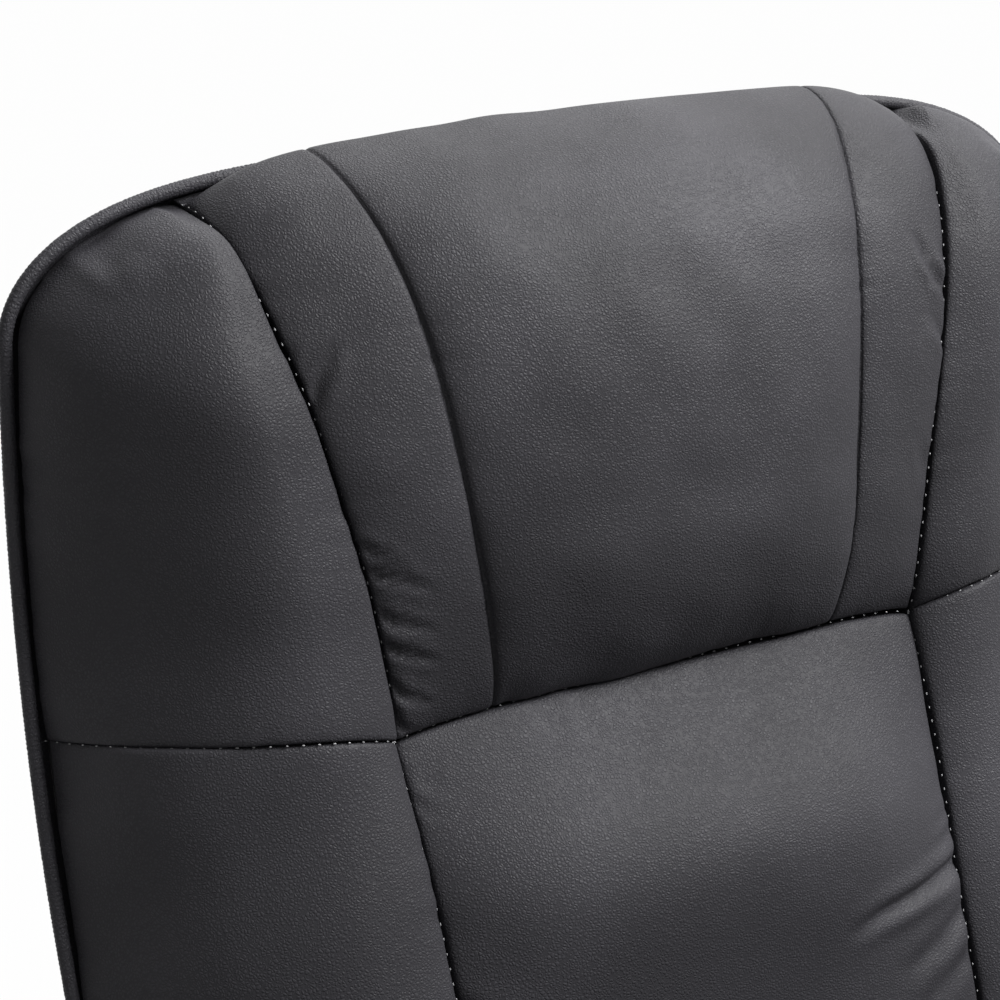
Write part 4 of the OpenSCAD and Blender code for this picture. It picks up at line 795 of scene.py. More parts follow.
def curve_of(name, *lines):
    """A curve object with one straight-sided spline for each line of points."""
    data = bpy.data.curves.new(name, "CURVE")
    data.dimensions = "3D"
    for line in lines:
        spline = data.splines.new("POLY")
        spline.points.add(len(line) - 1)
        spline.points.foreach_set("co", np.c_[line, np.ones(len(line))].ravel())
    return placed(name, data)


class Growth:
    """A geometry tree that works along a curve, with its sizes as named inputs."""
    def __init__(self, name, sizes):
        self.tree = bpy.data.node_groups.new(name, "GeometryNodeTree")
        face = self.tree.interface
        face.new_socket("Geometry", in_out="INPUT", socket_type="NodeSocketGeometry")
        for size, value in sizes.items():
            kind = "NodeSocketInt" if isinstance(value, int) else "NodeSocketFloat"
            face.new_socket(size, in_out="INPUT", socket_type=kind).default_value = value
        face.new_socket("Material", in_out="INPUT", socket_type="NodeSocketMaterial")
        face.new_socket("Geometry", in_out="OUTPUT", socket_type="NodeSocketGeometry")
        self.input = self.tree.nodes.new("NodeGroupInput").outputs

    def add(self, kind, output, settings={}, sockets={}):
        node = self.tree.nodes.new(kind)
        for name, value in settings.items():
            setattr(node, name, value)
        for name, value in sockets.items():
            if isinstance(value, bpy.types.NodeSocket):
                self.tree.links.new(value, node.inputs[name])
            else:
                node.inputs[name].default_value = value
        return node.outputs[output]

    def math(self, operation, *values):
        return self.add("ShaderNodeMath", 0, {"operation": operation}, dict(enumerate(values)))

    def finish(self, geometry):
        solid = self.add("GeometryNodeRealizeInstances", 0, {}, {0: geometry})
        coloured = self.add("GeometryNodeSetMaterial", 0, {}, {
            "Geometry": solid, "Material": self.input["Material"]})
        self.tree.links.new(coloured, self.tree.nodes.new("NodeGroupOutput").inputs[0])
        return self

    def grow(self, name, source, finish, body):
        """The tree's result on a source object, as a plain mesh piece that rides on a body."""
        modifier = source.modifiers.new("growth", "NODES")
        modifier.node_group = self.tree
        for item in self.tree.interface.items_tree:
            if item.in_out == "INPUT" and item.name == "Material":
                modifier[item.identifier] = finish.material
        bpy.context.view_layer.update()
        graph = bpy.context.evaluated_depsgraph_get()
        mesh = bpy.data.meshes.new_from_object(source.evaluated_get(graph))
        mesh.name = name
        bpy.data.objects.remove(source)
        return riding(name, mesh, body)


# Welt piping: a cord in a strip of the same leather, sewn into the edge of the back. Its cover
# puckers into fine ribs.
welt = Growth("welt_piping", {
    "Radius": 0.0033, "Pitch": 0.0007, "Rib": 0.00012, "Rib Length": 0.0021, "Pucker": 0.0003,
    "Sides": 14})
even = welt.add("GeometryNodeResampleCurve", 0, {"mode": "LENGTH"}, {
    "Curve": welt.input["Geometry"], "Length": welt.input["Pitch"]})
run = welt.add("GeometryNodeSplineParameter", "Length")
marked = welt.add("GeometryNodeStoreNamedAttribute", 0, {"data_type": "FLOAT"}, {
    "Geometry": even, "Name": "run", "Value": run})
ring = welt.add("GeometryNodeCurvePrimitiveCircle", 0, {}, {
    "Resolution": welt.input["Sides"], "Radius": welt.input["Radius"]})
tube = welt.add("GeometryNodeCurveToMesh", 0, {}, {
    "Curve": marked, "Profile Curve": ring, "Fill Caps": True})
way_along = welt.add("GeometryNodeInputNamedAttribute", "Attribute", {"data_type": "FLOAT"}, {
    "Name": "run"})
position = welt.add("GeometryNodeInputPosition", 0)
wander = welt.add("ShaderNodeTexNoise", 0, {}, {
    "Vector": position, "Scale": 210.0, "Detail": 2.0})
coarse = welt.add("ShaderNodeTexNoise", 0, {}, {"Vector": position, "Scale": 60.0, "Detail": 1.0})
phase = welt.math("ADD", welt.math("DIVIDE", way_along, welt.input["Rib Length"]),
                  welt.math("MULTIPLY", wander, 1.6))
rib = welt.math("MULTIPLY", welt.math("SINE", welt.math("MULTIPLY", phase, 6.2832)),
                welt.math("MULTIPLY", welt.input["Rib"], coarse))
pucker = welt.math("MULTIPLY", welt.math("SUBTRACT", wander, 0.5), welt.input["Pucker"])
normal = welt.add("GeometryNodeInputNormal", 0)
shift = welt.add("ShaderNodeVectorMath", 0, {"operation": "SCALE"}, {
    0: normal, "Scale": welt.math("ADD", welt.math("MULTIPLY", rib, 2.0), pucker)})
welt.finish(welt.add("GeometryNodeSetPosition", 0, {}, {"Geometry": tube, "Offset": shift}))

outline, low_steps = back_outline()
outwards = outward_of(outline)
depth = groove_depth(outline[:, 1])
piped = slice(low_steps, len(outline) - low_steps)
welt_line = outline + outwards * (piping_r + 0.8)
back_welt = welt.grow("back_piping", curve_of("welt", on_spine(
    welt_line[piped, 0], welt_line[piped, 1], depth[piped])), leather, "back")
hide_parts("piping")

# Boxing: the strip of leather round the back's edge, from the welt to the rear cover. It is
# stretched over the board's rim, bellies a little, and gathers where it turns the corners.
def ring_faces(count, around, first=0):
    """The faces between rings of points, whose numbers begin at the first."""
    start = first + np.arange(count - 1)[:, None] * around
    one, ahead = start + np.arange(around), start + np.roll(np.arange(around), -1)
    return np.stack([one, ahead, ahead + around, one + around], -1).reshape(-1, 4).tolist()


def lofted(name, rings, ends, finish, body):
    """A closed form of rings, each end closed by a fan to a point."""
    count, around = len(rings), len(rings[0])
    points = np.concatenate([ends[0][None], *rings, ends[1][None]])
    last = 1 + (count - 1) * around
    faces = [(0, 1 + (i + 1) % around, 1 + i) for i in range(around)]
    faces += ring_faces(count, around, 1)
    faces += [(last + i, last + (i + 1) % around, len(points) - 1) for i in range(around)]
    return piece(name, points, faces, finish, body)


# The boxing and the rear cover take the same leather at 0.85 of its colour: painted shade, as they
# face away from the lights.
shadowed_leather_finish = leather_finish("leather_painted_shadow", painted_shade=0.85)
band_t, band_draw, band_over = 4.0, 24.0, 5.0
across_band = np.concatenate([[0.0, 0.02, 0.05], np.linspace(0.1, 0.9, 17), [0.95, 0.98, 1.0]])
turning = np.linalg.norm(np.roll(outwards, -3, 0) - np.roll(outwards, 3, 0), axis=1)
run = np.concatenate([[0], np.cumsum(np.linalg.norm(np.diff(outline, axis=0), axis=1))])
band_front = depth - piping_r - 0.3
sections = []
for share in across_band:
    belly = 2.2 * math.sin(math.pi * share) ** 0.7 - 1.6 * (share in (0.0, 1.0))
    edge_pull = near(share, 0.16) + 0.7 * near(1 - share, 0.12)
    gather = edge_pull * (0.12 + 1.3 * turning) * along_seam(run, 11.0, 211)
    out = band_over + belly + gather - band_draw * share
    sections.append((outline + outwards * out[:, None], mix(band_front, -shell_depth, share)))
for share in (1.0, 0.03):
    out = band_over - band_t - band_draw * share
    sections.append((outline + outwards * out, mix(band_front, -shell_depth, share)))
# Its front edge is turned in under the welt and the cushions
for out, rise in ((-3.2, -1.2), (-3.2, -0.4), (0.5, 0.0)):
    sections.append((outline + outwards * out, band_front + rise))
grid = np.stack([on_spine(p[:, 0], p[:, 1], d) for p, d in sections])
index = np.arange(grid[..., 0].size).reshape(grid.shape[:2])
above = np.roll(index, -1, 0)
quads = np.stack([index, np.roll(index, -1, 1), np.roll(above, -1, 1), above], -1)
boxing = piece("back_boxing", grid, quads.reshape(-1, 4).tolist(), shadowed_leather_finish, "back")
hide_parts("side_band")

# Rear cover: one panel of leather over thin padding, closed round its edge by a turned seam.
# It lies slack enough to show a few soft, wide swells and gathers at its corners.
rim = outline + outwards * (band_over - band_t - band_draw - 0.3)
middle = np.array([0.0, -60.0])
to_middle, rear_swell = 260.0, 5.0
ring_shares = np.concatenate([close_set(150.0, 2)[:10] * 0.7, np.linspace(0.13, 1, 42)[:-1]])
ring_shares = np.unique(np.round(ring_shares, 5))
rings = []
for share in ring_shares:
    p = mix(rim, middle, share)
    from_edge = share * to_middle
    swell = rear_swell * (1 - near(from_edge, 14.0)) - 1.8 * near(from_edge, 1.5)
    gather = near(from_edge, 22.0) * (0.30 + 1.6 * turning) * along_seam(run, 21.0, 221)
    rings.append(on_spine(p[:, 0], p[:, 1], -shell_depth - swell + 1.0 + gather))
face = np.stack(rings)
face[..., 1] += 0.0007 * Unevenness(150.0, 223)(face) * held(ring_shares / 0.1)[:, None]
inner_rim = on_spine(rim[:, 0], rim[:, 1], 5.0 - shell_depth)
cover_middle = on_spine(0.0, middle[1], 1 - rear_swell - shell_depth)
# The rear cover takes the same darkened leather as the boxing: painted shade.
rear_cover = lofted("rear_cover", [inner_rim, *face], (inner_rim.mean(0), cover_middle),
                    shadowed_leather_finish, "back")
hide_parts("rear_panel")

# Stitches: a grey thread that shows as short, even stitches along the seams of the back and the
# arms.
stitching = Growth("stitches", {
    "Pitch": 0.0070, "Stitch": 0.0015, "Thread": 0.0007, "Seed": 7})
spots = stitching.add("GeometryNodeResampleCurve", 0, {"mode": "LENGTH"}, {
    "Curve": stitching.input["Geometry"], "Length": stitching.input["Pitch"]})
bead = stitching.add("GeometryNodeMeshIcoSphere", 0, {}, {"Radius": 0.5, "Subdivisions": 2})
tangent = stitching.add("GeometryNodeInputTangent", 0)
turned = stitching.add("FunctionNodeAlignRotationToVector", 0, {"axis": "X"}, {"Vector": tangent})
chance = stitching.add("FunctionNodeRandomValue", 1, {"data_type": "FLOAT"}, {
    "Min": 0.75, "Max": 1.15, "Seed": stitching.input["Seed"]})
size = stitching.add("ShaderNodeCombineXYZ", 0, {}, {
    0: stitching.math("MULTIPLY", stitching.input["Stitch"], chance),
    1: stitching.input["Thread"], 2: stitching.input["Thread"]})
stitching.finish(stitching.add("GeometryNodeInstanceOnPoints", 0, {}, {
    "Points": spots, "Instance": bead, "Rotation": turned, "Scale": size}))

thread = Finish("grey_thread", Roughness=0.7)
twist = thread.noise(2500.0, 1.0)
thread.set(Base_Color=thread.blend(twist, (0.22, 0.22, 0.23), (0.45, 0.45, 0.46)))
thread.bump(twist, 0.0001)
stitching.grow("back_stitches", curve_of("back_seams", *back_seams), thread, "back")

# Arms: each is a padded leather side on a plywood board, bolted to the side plate. The cover is
# drawn in by a welt all round, its boxing wraps the board's rim, and a thin lining faces inwards.
arm_x, board_x, soft_x, arm_face_x = 290.0, 293.0, 311.3, 383.5
welt_x, roll_x, roll_inset = 333.0, 338.5, 40.0
lining_inset = 4.0
arm_middle = np.array([-20.0, 450.0])
# Corners of the arm's outline along and up, each with its radius
arm_corners = [
    (-335, 268, 46), (90, 268, 24), (112, 352, 26), (268, 352, 34), (268, 556, 44),
    (-335, 556, 70)]


def rounded_outline(corners, step):
    """An even outline from corners with radii; it runs anticlockwise."""
    points = []
    for i, (y, z, r) in enumerate(corners):
        corner = np.array([y, z], float)
        before = np.array(corners[i - 1][:2], float) - corner
        after = np.array(corners[(i + 1) % len(corners)][:2], float) - corner
        before /= np.linalg.norm(before)
        after /= np.linalg.norm(after)
        half = math.acos(before @ after) / 2
        centre = corner + (before + after) / np.linalg.norm(before + after) * r / math.sin(half)
        start = corner + before * r / math.tan(half) - centre
        end = corner + after * r / math.tan(half) - centre
        sweep = math.atan2(start[0] * end[1] - start[1] * end[0], start @ end)
        for share in np.linspace(0, 1, 15):
            c, s = math.cos(sweep * share), math.sin(sweep * share)
            points.append(centre + (start[0] * c - start[1] * s, start[0] * s + start[1] * c))
    points = np.array(points + points[:1])
    run = np.concatenate([[0], np.cumsum(np.linalg.norm(np.diff(points, axis=0), axis=1))])
    places = np.linspace(0, run[-1], round(run[-1] / step), endpoint=False)
    return np.stack([np.interp(places, run, points[:, k]) for k in (0, 1)], -1), places


arm_line, arm_run = rounded_outline(arm_corners, 3.6)
arm_outward = outward_of(arm_line)


def arm_ring(inset, x):
    """A ring of the arm: its outline drawn in, and further in along rays to its middle."""
    drawn = min(inset, 16.0)
    ring = mix(arm_line - arm_outward * drawn, arm_middle, (inset - drawn) / 300.0)
    return np.c_[np.full(len(ring), x), ring]


def leather_form(rings, ends, side, name, body):
    """A closed leather form, on its side, of rings and two end points in millimetres."""
    rings, ends = (np.array(part) * (side, 1, 1) * MM for part in (rings, ends))
    return lofted(name, rings, ends, leather, body)


roll_turns = np.radians(np.concatenate([[2, 5, 9], np.linspace(14, 90, 18)]))
face_insets = np.concatenate([np.linspace(44, 130, 16), np.linspace(140, 292, 20)])
boxing_rings = [(7.6, soft_x + 0.5), (7.6, board_x + 0.5), (4.2, board_x + 0.4),
                (2.2, board_x + 1.6), (1.2, 299.0), (0.7, 306.0), (0.4, 314.0), (0.6, 321.0),
                (1.2, 326.0), (2.4, 329.4), (3.8, 331.0), (4.6, 332.0), (3.6, 334.0),
                (1.8, 336.5)]
arm_crown = 5.0
for side, name in ((-1, "right"), (1, "left")):
    rings = [arm_ring(inset, x) for inset, x in boxing_rings]
    for turn in roll_turns:
        rings.append(arm_ring(roll_inset * (1 - math.cos(turn)) ** 1.1,
                              mix(roll_x, arm_face_x, math.sin(turn) ** 0.9)))
    for inset in face_insets:
        rings.append(arm_ring(inset, arm_face_x + arm_crown * ease((inset - roll_inset) / 200)))
    covered = np.array(rings)
    ring_x = covered[:, :1, 0]
    on_roll = near(np.abs(ring_x - welt_x), 16.0) * (ring_x > 297)
    gather = 0.55 * on_roll * along_seam(arm_run, 17.0, 301 + side)[None, :]
    swell = Unevenness(120.0, 311 + side)(covered * MM) * 0.9
    covered[..., 1:] += arm_outward * gather[..., None]
    covered[..., 0] += swell * held((covered[..., 0] - 360) / 20)
    middles = [(x, *arm_middle) for x in (soft_x + 0.5, arm_face_x + arm_crown)]
    cover = leather_form(covered, middles, side, "arm_side_" + name, "carrier")
    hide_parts("arm_panel_" + name)

    # The welt runs from the pad's front, down and round the side, and up to the pad's rear,
    # with a row of stitches on either side of it
    under_pad = (arm_line[:, 1] > 545) & (arm_line[:, 0] < 215)
    first = int(np.flatnonzero(under_pad & ~np.roll(under_pad, -1))[0])
    ring = np.roll(arm_ring(0.4, welt_x), -first - 1, axis=0)[:len(arm_line) - under_pad.sum()]
    welt.grow("arm_welt_" + name, curve_of("welt", ring * (side, 1, 1) * MM), leather,
              "carrier")
    rows = [np.roll(arm_ring(0.2, x), -first - 1, axis=0)[:len(ring)] * (side, 1, 1) * MM
            for x in (welt_x - 10.5, welt_x + 8.0)]
    stitching.grow("arm_stitches_" + name, curve_of("arm_seams", *rows), thread, "carrier")

    # The lining swells softly inwards, except where it lies between the board and the side plate
    lining_rings = [(60.0, board_x - 0.1), (lining_inset + 0.6, board_x - 0.1),
                    (lining_inset, board_x - 0.5), (lining_inset, arm_x + 0.8),
                    (lining_inset + 0.6, arm_x + 0.25), (lining_inset + 2, arm_x + 0.1)]
    lining_insets = np.concatenate([np.linspace(8, 60, 18), np.linspace(66, 290, 36)])
    rings = np.array([arm_ring(*place) for place in lining_rings]
                     + [arm_ring(inset, arm_x) for inset in lining_insets])
    y, z = rings[..., 1], rings[..., 2]
    over_plate = ease((z - np.where(y < 60, 345, mix(345, 482, held((y - 60) / 90)))) / 45)
    inside = held((np.arange(len(rings)) - len(lining_rings)) / 6)[:, None]
    rings[..., 0] -= over_plate * inside * (1.6 + 0.5 * Unevenness(90.0, 331 + side)(rings * MM))
    middles = [(x, *arm_middle) for x in (board_x - 0.1, rings[-1, :, 0].mean())]
    lining = leather_form(rings, middles, side, "arm_lining_cover_" + name, "carrier")
    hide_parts("arm_lining_" + name)

# Arm pads: stuffed leather rests, tacked down on top of the arms. Each is blown up from a closed
# form by a short cloth simulation, then its two long seams are pressed in.
pad_low, pad_high = np.array([290.0, -347.0, 556.3]), np.array([391.0, 205.0, 598.3])
pad_middle, pad_half = (pad_low + pad_high) / 2, (pad_high - pad_low) / 2
pad_seam_x, pad_seam_d, pad_seam_w = 37.0, 2.6, 2.6


def read(elements, name, width=3, kind=np.float32):
    """One property of a mesh's elements, as an array with a row for each."""
    values = np.empty(len(elements) * width, dtype=kind)
    elements.foreach_get(name, values)
    return values.reshape(-1, width)


def inflated(name, points, faces, voxel, cap, evening, held_in):
    """A closed form blown up with a cloth simulation: remeshed, pressed outwards up to a cap in
    metres, evened out, and kept within its neighbours' limits. Returns its points and faces."""
    form = placed(name, outward_mesh(name, points, faces, join=1e-6))
    remesh = form.modifiers.new("remesh", "REMESH")
    remesh.mode = "VOXEL"
    remesh.voxel_size = voxel
    graph = bpy.context.evaluated_depsgraph_get()
    mesh = bpy.data.meshes.new_from_object(form.evaluated_get(graph))
    form.modifiers.clear()
    form.data = mesh
    start = read(mesh.vertices, "co").astype(float)
    end, quick_push = start, 0.0
    blow = form.modifiers.new("cloth", "CLOTH")
    blow.settings.effector_weights.gravity = 0.0
    for setting, value in {
            "quality": 5, "mass": 0.3, "use_pressure": True, "uniform_pressure_force": 4.0,
            "tension_stiffness": 25.0, "compression_stiffness": 12.0,
            "bending_stiffness": 1.2}.items():
        setattr(blow.settings, setting, value)
    scene = bpy.context.scene
    frames = range(1, 21)
    blow.point_cache.frame_start, blow.point_cache.frame_end = frames[0], frames[-1]
    for step in frames:
        scene.frame_set(step)
    graph = bpy.context.evaluated_depsgraph_get()
    blown = form.evaluated_get(graph).to_mesh()
    end = read(blown.vertices, "co").astype(float)
    form.modifiers.clear()
    scene.frame_set(frames[0])
    normal = read(mesh.vertices, "normal")
    push = ((end - start) * normal).sum(1) + quick_push
    edges = read(mesh.edges, "vertices", 2, np.int32)
    one, other = edges.T
    meeting = np.bincount(edges.ravel(), minlength=len(push))
    for _ in range(evening):
        around = (np.bincount(one, push[other], len(push))
                  + np.bincount(other, push[one], len(push)))
        push = (push + around / meeting) / 2
    end = start + normal * np.clip(push, 0, cap)[:, None]
    mesh.vertices.foreach_set("co", held_in(end).ravel())
    smooth = form.modifiers.new("finer", "SUBSURF")
    smooth.levels = smooth.render_levels = 1
    graph = bpy.context.evaluated_depsgraph_get()
    mesh = bpy.data.meshes.new_from_object(form.evaluated_get(graph))
    bpy.data.objects.remove(form)
    points = held_in(read(mesh.vertices, "co").astype(float))
    return points, [tuple(f.vertices) for f in mesh.polygons]


def stretched(points, low, high):
    """Points moved so that they fill the room between two corners."""
    least, most = points.min(0), points.max(0)
    return low + (points - least) / (most - least) * (np.array(high) - low)


def swollen(turn, power):
    c, s = np.cos(turn), np.sin(turn)
    return np.sign(c) * np.abs(c) ** (2 / power), np.sign(s) * np.abs(s) ** (2 / power)


def ring_form(count, around):
    """The faces of a closed form of rings, with one face over each end."""
    ends = [tuple(range(around))[::-1], tuple(range((count - 1) * around, count * around))]
    return ends + ring_faces(count, around)


def on_arm(points):
    return np.clip(points, (pad_low + (0.3, -2.0, 0.1)) * MM, (pad_high + (0.5, 1.0, 3.0)) * MM)


rings = []
for f in np.linspace(-88, 88, 60):
    in_x, in_y = swollen(np.radians(f), 5.0)
    x, z = swollen(np.linspace(0, 2 * np.pi, 72, endpoint=False), 3.2)
    z = pad_middle[2] - 6.0 + z * pad_half[2] * mix(0.35, 1, in_x)
    rings.append(np.stack([
        pad_middle[0] + x * (pad_half[0] - 7) * mix(0.72, 1, in_x),
        np.full(len(x), pad_middle[1] + in_y * (pad_half[1] - 8)),
        np.maximum(z, pad_low[2] + 0.2)], -1))
rings = np.array(rings)
pad_points, pad_faces = inflated(
    "arm_pad", rings * MM, ring_form(*rings.shape[:2]), voxel=0.0045, cap=0.010, evening=24,
    held_in=on_arm)
for side, name in ((-1, "right"), (1, "left")):
    points = stretched(pad_points / MM, pad_low + 0.3, pad_high + (0.0, 0.0, 1.0))
    across = points[:, 0] - pad_middle[0]
    upper = held((points[:, 2] - pad_low[2] - 16.0) / 8.0)
    seam_at = pad_seam_x * (1 - 0.25 * held((np.abs(points[:, 1] - pad_middle[1]) - 225) / 50) ** 2)
    from_seam = np.abs(np.abs(across) - seam_at)
    pressed = pad_seam_d * np.exp(-(from_seam / pad_seam_w) ** 2)
    puckers = 0.5 * near(from_seam, 8.0) * along_seam(points[:, 1], 15.0, 341 + side)
    soft = 0.6 * Unevenness(70.0, 351 + side)(points * MM)
    points[:, 2] += upper * (puckers + soft - pressed)
    made = piece("arm_pad_cover_" + name, points * (side, 1, 1) * MM, pad_faces, leather,
                 "carrier")
    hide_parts("arm_pad_" + name)

# Seat: elastic webbing woven across the frame carries a thick foam cushion under leather, with
# two long seams in line with the back's. A padded strip covers the frame's front rail.
seat_half, seat_front_y, seat_rear_y = 281.0, -385.0, 128.0
frame_top, frame_t = 296.0, 22.0
strap_w, strap_t, strap_inset = 60.0, 1.5, 40.0


def strap(line, way, first):
    """A flat strap with slightly rounded edges along a line; way is the side it widens to, and
    the numbers of its points begin at the first."""
    half, rounding, thin = strap_w / 2, 0.6, 0.2
    section = [(-half, -thin), (-half + rounding, -strap_t / 2), (half - rounding, -strap_t / 2),
               (half, -thin), (half, thin), (half - rounding, strap_t / 2),
               (rounding - half, strap_t / 2), (-half, thin)]
    rings = np.array([line + np.outer(np.ones(len(line)), way) * a + (0, 0, b)
                      for a, b in section]).transpose(1, 0, 2)
    count, around = rings.shape[:2]
    last = first + count * around - 1
    ends = [list(range(first, first + around)), list(range(last, last - around, -1))]
    return rings.reshape(-1, 3), ends + ring_faces(count, around, first)


cross_places = np.linspace(seat_front_y + strap_inset / 2, seat_rear_y - frame_t - strap_w,
                           6) + strap_w / 2
long_end = seat_half - frame_t - strap_inset
long_places = np.linspace(-long_end, long_end - strap_w, 4) + strap_w / 2
strap_low = frame_top + strap_t / 2 + 0.05


def woven(places, others, first_over):
    """Height of a strap along its length: over one crossing strap and under the next."""
    height = np.full(len(places), strap_low)
    for i, at in enumerate(others):
        over = (i + first_over) % 2
        height += over * strap_t * (1 - ease((np.abs(places - at) - 22.0) / 26.0))
    return height


# Each strap: the axis it runs along, its place on the other one, and the straps that it crosses
straps = [(0, y, long_places, i) for i, y in enumerate(cross_places)]
straps += [(1, x, cross_places, i + 1) for i, x in enumerate(long_places)]
strap_ends = ((0.5 - seat_half, seat_half - 0.5), (seat_front_y + 0.5, seat_rear_y - 0.5))
points, faces = [], []
for axis, place, others, first_over in straps:
    line = np.full((150, 3), place)
    line[:, axis] = np.linspace(*strap_ends[axis], len(line))
    line[:, 2] = woven(line[:, axis], others, first_over)
    more, loops = strap(line, (axis, 1 - axis, 0), sum(map(len, points)))
    points.append(more)
    faces += loops

elastic = Finish("elastic_webbing", Roughness=0.8)
warp, weft = (elastic.add("TexWave", "Fac", {"bands_direction": way}, {
    "Vector": elastic.place, "Scale": 330.0, "Distortion": 0.4}) for way in "XY")
weave = warp * weft
elastic.set(Base_Color=elastic.blend(weave, (0.010, 0.010, 0.011), (0.045, 0.045, 0.047)),
            Roughness=weave * -0.15 + 0.85)
elastic.bump(weave, 0.0003)
webbing = piece("woven_webbing", np.concatenate(points) * MM, faces, elastic, "seat")
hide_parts("seat_webbing")

# Dust cover: a thin black cloth stapled under the frame, with a little slack.
dust_half_x, dust_z, dust_t = 229.7, 256.0, 0.8
gx, gy = np.meshgrid(np.linspace(-dust_half_x, dust_half_x, 70),
                     np.linspace(seat_front_y, seat_rear_y, 78))
edge_x, edge_y = 1 - np.abs(gx) / dust_half_x, np.minimum(gy - seat_front_y, seat_rear_y - gy)
slack = ease(edge_x / 0.5) * ease(edge_y / 120.0)
flat = np.stack([gx, gy, np.full(gx.shape, dust_z - 0.05)], -1)
flat[..., 2] -= slack * 2.0 + 0.5 * ease(edge_x / 0.1) * ease(edge_y / 20) * (
    1 + 0.6 * Unevenness(70.0, 401)(flat * MM))
under = flat - (0, 0, dust_t - 0.1)
upper_faces, rim = grid_faces(*gx.shape)
next_rim = np.roll(rim, -1)
faces = np.concatenate([upper_faces, upper_faces[:, ::-1] + gx.size, np.stack(
    [rim, next_rim, next_rim + gx.size, rim + gx.size], -1)]).tolist()
dust_cloth = Finish("black_dust_cloth", Roughness=0.9)
fibres = dust_cloth.noise(900.0, 4.0, dust_cloth.stretch(1.0, 0.35, 1.0))
dust_cloth.set(
    Base_Color=dust_cloth.blend(fibres, (0.006, 0.006, 0.006), (0.030, 0.030, 0.031)),
    Roughness=fibres * 0.15 + 0.80)
dust_cloth.bump(fibres, 0.0002)
dust = piece("dust_cloth", np.concatenate([flat.reshape(-1, 3), under.reshape(-1, 3)]) * MM,
             faces, dust_cloth, "seat")
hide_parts("dust_cover")

# Seat cushion: blown up as the arm pads are, then its seams are pressed in: two long ones that
# run over the front, and one across the front, where the top panel meets the front one.
cushion_low_z, cushion_top_z, cushion_rear_z = 299.6, 445.6, 425.6
cushion_front_y, foremost_y = -407.0, -410.0
cushion_under_z = cushion_low_z + 0.2
seat_room = np.array([(-282.0, -414.0, cushion_under_z), (282.0, 300.0, 470.0)])
cushion_corners = [
    (cushion_front_y, cushion_low_z, 20), None, None, (cushion_front_y, cushion_top_z, 48)]
cushion_seam_d, cushion_seam_w = 7.0, 4.2
front_seam_z, front_seam_d, front_seam_w = 372.0, 3.2, 3.4


def back_front_y(z):
    """Where the front of the padded back is at a height, at rest."""
    ahead = -pivot_depth - pad_depth - 18.0
    up = (z - pivot_z + ahead * math.sin(rest_lean)) / math.cos(rest_lean)
    return pivot_y + ahead * math.cos(rest_lean) + up * math.sin(rest_lean)


cushion_corners[1] = (back_front_y(cushion_low_z) - 6, cushion_low_z, 8)
cushion_corners[2] = (back_front_y(cushion_rear_z) - 6, cushion_rear_z, 16)
section, _ = rounded_outline(cushion_corners, 9.0)
section_out = outward_of(section)
cushion_xs = np.concatenate([[-281, -280.4, -278, -274, -268, -260, -250],
                             np.linspace(-240, 240, 49), [250, 260, 268, 274, 278, 280.4, 281]])
rings = []
for x in cushion_xs:
    at_side = held((abs(x) - seat_half + 34) / 34)
    draw = 12 * (1 - math.sqrt(1 - at_side ** 2)) + 13.0
    ring = section - section_out * draw
    lift = 10 * (1 - (x / seat_half) ** 2)
    ring[:, 1] += lift * held(2 * (ring[:, 1] - cushion_low_z) / 126 - 1)
    rings.append(np.c_[np.full(len(ring), x * (1 - 12.0 / seat_half)), ring])
rings = np.array(rings)


def in_seat(points):
    """Keeps the cushion between the side plates, on the webbing and ahead of the back."""
    points = np.clip(points, *(seat_room * MM))
    points[:, 1] = np.minimum(points[:, 1], (back_front_y(points[:, 2] / MM) - 5.0) * MM)
    return points


points, faces = inflated(
    "seat_cushion", rings * MM, ring_form(*rings.shape[:2]), voxel=0.006, cap=0.022, evening=40,
    held_in=in_seat)
points = stretched(points / MM, (-281.5, foremost_y, cushion_under_z),
                   (281.5, 0.0, cushion_top_z + 13))
# Drawn out along Y too, so that its rear follows the back at a gap
spare, rear_gap = (back_front_y(points[:, 2]) - points[:, 1]).min(), 6.0
reach = back_front_y(points[:, 2]) - foremost_y
points[:, 1] = foremost_y + (points[:, 1] - foremost_y) * (reach - rear_gap) / (reach - spare)
# Its front edge hangs over the strip on the frame's front rail
front_ahead, front_drop = 2.0, 9.0
low_front = held((334.0 - points[:, 2]) / 24.0) * held((-330.0 - points[:, 1]) / 50.0)
points[:, 1] -= front_ahead * low_front
points[:, 2] -= front_drop * low_front
x, y, z = points.T
open_face = held((z - cushion_low_z - 6.0) / 14.0) * held((back_front_y(z) - 8.0 - y) / 14.0)
from_long = np.abs(np.abs(x) - pillow_half)
from_front = np.where(y < cushion_front_y + 60, np.abs(z - front_seam_z), 1e3)
sink = (cushion_seam_d * np.exp(-(from_long / cushion_seam_w) ** 1.4)
        + front_seam_d * np.exp(-(from_front / front_seam_w) ** 1.4)) * open_face
gather = (0.9 * near(from_long, 11.0) * along_seam(y + z, 18.0, 421)
          + 0.6 * near(from_front, 9.0) * along_seam(x, 16.0, 423)
          + 1.3 * Unevenness(130.0, 425)(points * MM)) * open_face
out_y = -held((cushion_front_y + 52 - y) / 48) ** 1.5
out_z = np.sqrt(np.maximum(1 - out_y ** 2, 0)) * (z > cushion_low_z + 40)
points[:, 1] += out_y * (gather - sink)
points[:, 2] += out_z * (gather - sink)
points = in_seat(points * MM)
cushion = piece("seat_cushion_cover", points, faces, leather, "seat")
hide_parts("seat_cushion")

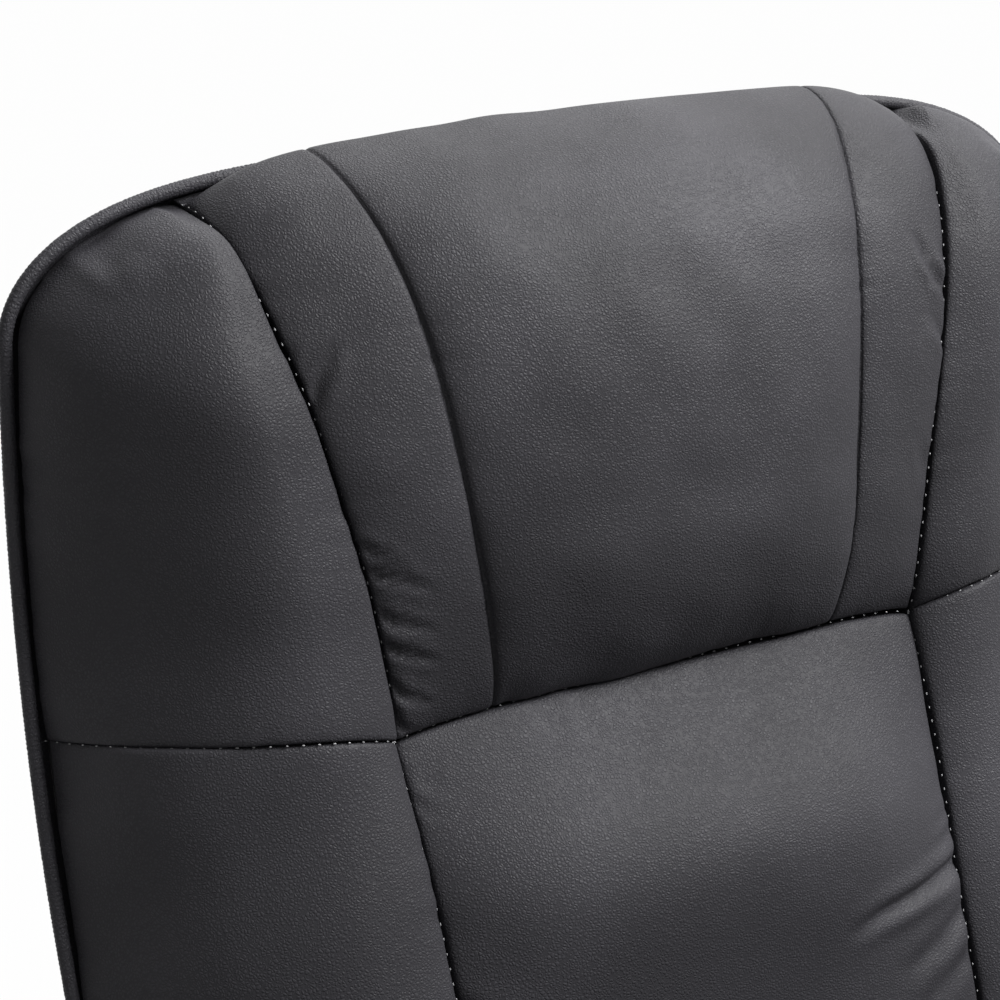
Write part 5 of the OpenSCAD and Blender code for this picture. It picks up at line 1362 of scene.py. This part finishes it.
# The rail's cover bellies forwards between its ends
strip_corners = [(-400.3, 252.0, 6), (-385.3, 252.0, 1), (-385.3, 299.3, 1), (-400.3, 299.3, 6)]
strip, _ = rounded_outline(strip_corners, 1.6)
strip_out = outward_of(strip)
strip_xs = (close_set(281.0, 110, first=0.5) * 2 - 1) * (seat_half - 0.4)
rings = []
for x in strip_xs:
    end = 1.5 * math.exp(-(seat_half - abs(x)) / 2.0)
    ahead = held((-391.0 - strip[:, 0]) / 8.0)
    wave = ahead * (2.2 * np.sin(np.pi * held((strip[:, 1] - 252) / 47.3)) ** 0.8 - end)
    rings.append(np.c_[np.full(len(strip), x), strip + strip_out * wave[:, None]])
rings = np.array(rings)
ahead = held((-391.0 - rings[..., 1]) / 8.0)
rings[..., 1] -= ahead * 0.8 * Unevenness(45.0, 431)(rings * MM)
rail_cover = leather_form(rings, (rings[0].mean(0), rings[-1].mean(0)), 1,
                          "front_rail_cover", "seat")
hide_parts("seat_front")

# Frame covers: thin leather glued over the frame's sides and its rear rail, and turned in over
# their tops under the webbing. A strip does the same on top of the front rail.
wrap_low_z, frame_top_z, wrap_top_z = 256.3, 296.05, 296.4
wrap_gap, wrap_t, turned_in = 0.1, 1.3, 21.5


def wrap_section(edge):
    """The L-shaped section of a wrap over a rail whose outer face is at a place across it."""
    inside, outside = edge + wrap_gap, edge + wrap_gap + wrap_t
    return rounded_outline([
        (inside, wrap_low_z, 0.3), (outside, wrap_low_z, 0.3), (outside, wrap_top_z, 0.2),
        (edge - turned_in, wrap_top_z, 0.1), (edge - turned_in, frame_top_z, 0.1),
        (inside, frame_top_z, 0.05)], 0.5)[0]


side_wrap, rear_wrap = wrap_section(seat_half), wrap_section(seat_rear_y)
wrap_y = np.linspace(seat_front_y - 0.25, seat_rear_y - turned_in - 0.5, 120)
wrap_x = np.linspace(0.6 - seat_half, seat_half - 0.6, 130)
close_out, close_z = wrap_gap + 0.5, wrap_top_z - 0.17
side_close = [(seat_half + close_out, y, close_z) for y in wrap_y[[0, -1]]]
rear_close = [(x, seat_rear_y + close_out, close_z) for x in wrap_x[[0, -1]]]
for side, name in ((-1, "right"), (1, "left")):
    rings = [np.c_[side_wrap[:, 0], np.full(len(side_wrap), y), side_wrap[:, 1]] for y in wrap_y]
    leather_form(rings, side_close, side, "frame_side_cover_" + name, "seat")
rings = [np.c_[np.full(len(rear_wrap), x), rear_wrap] for x in wrap_x]
leather_form(rings, rear_close, 1, "frame_rear_cover", "seat")
front_strip, _ = rounded_outline([
    (seat_front_y, frame_top_z, 0.1), (seat_front_y + turned_in, frame_top_z, 0.1),
    (seat_front_y + turned_in, wrap_top_z, 0.1), (seat_front_y, wrap_top_z, 0.1)], 0.5)
rings = [np.c_[np.full(len(front_strip), x), front_strip]
         for x in np.linspace(turned_in + 0.5 - seat_half, seat_half - turned_in - 0.5, 120)]
leather_form(rings, (rings[0].mean(0), rings[-1].mean(0)), 1, "frame_front_strip", "seat")
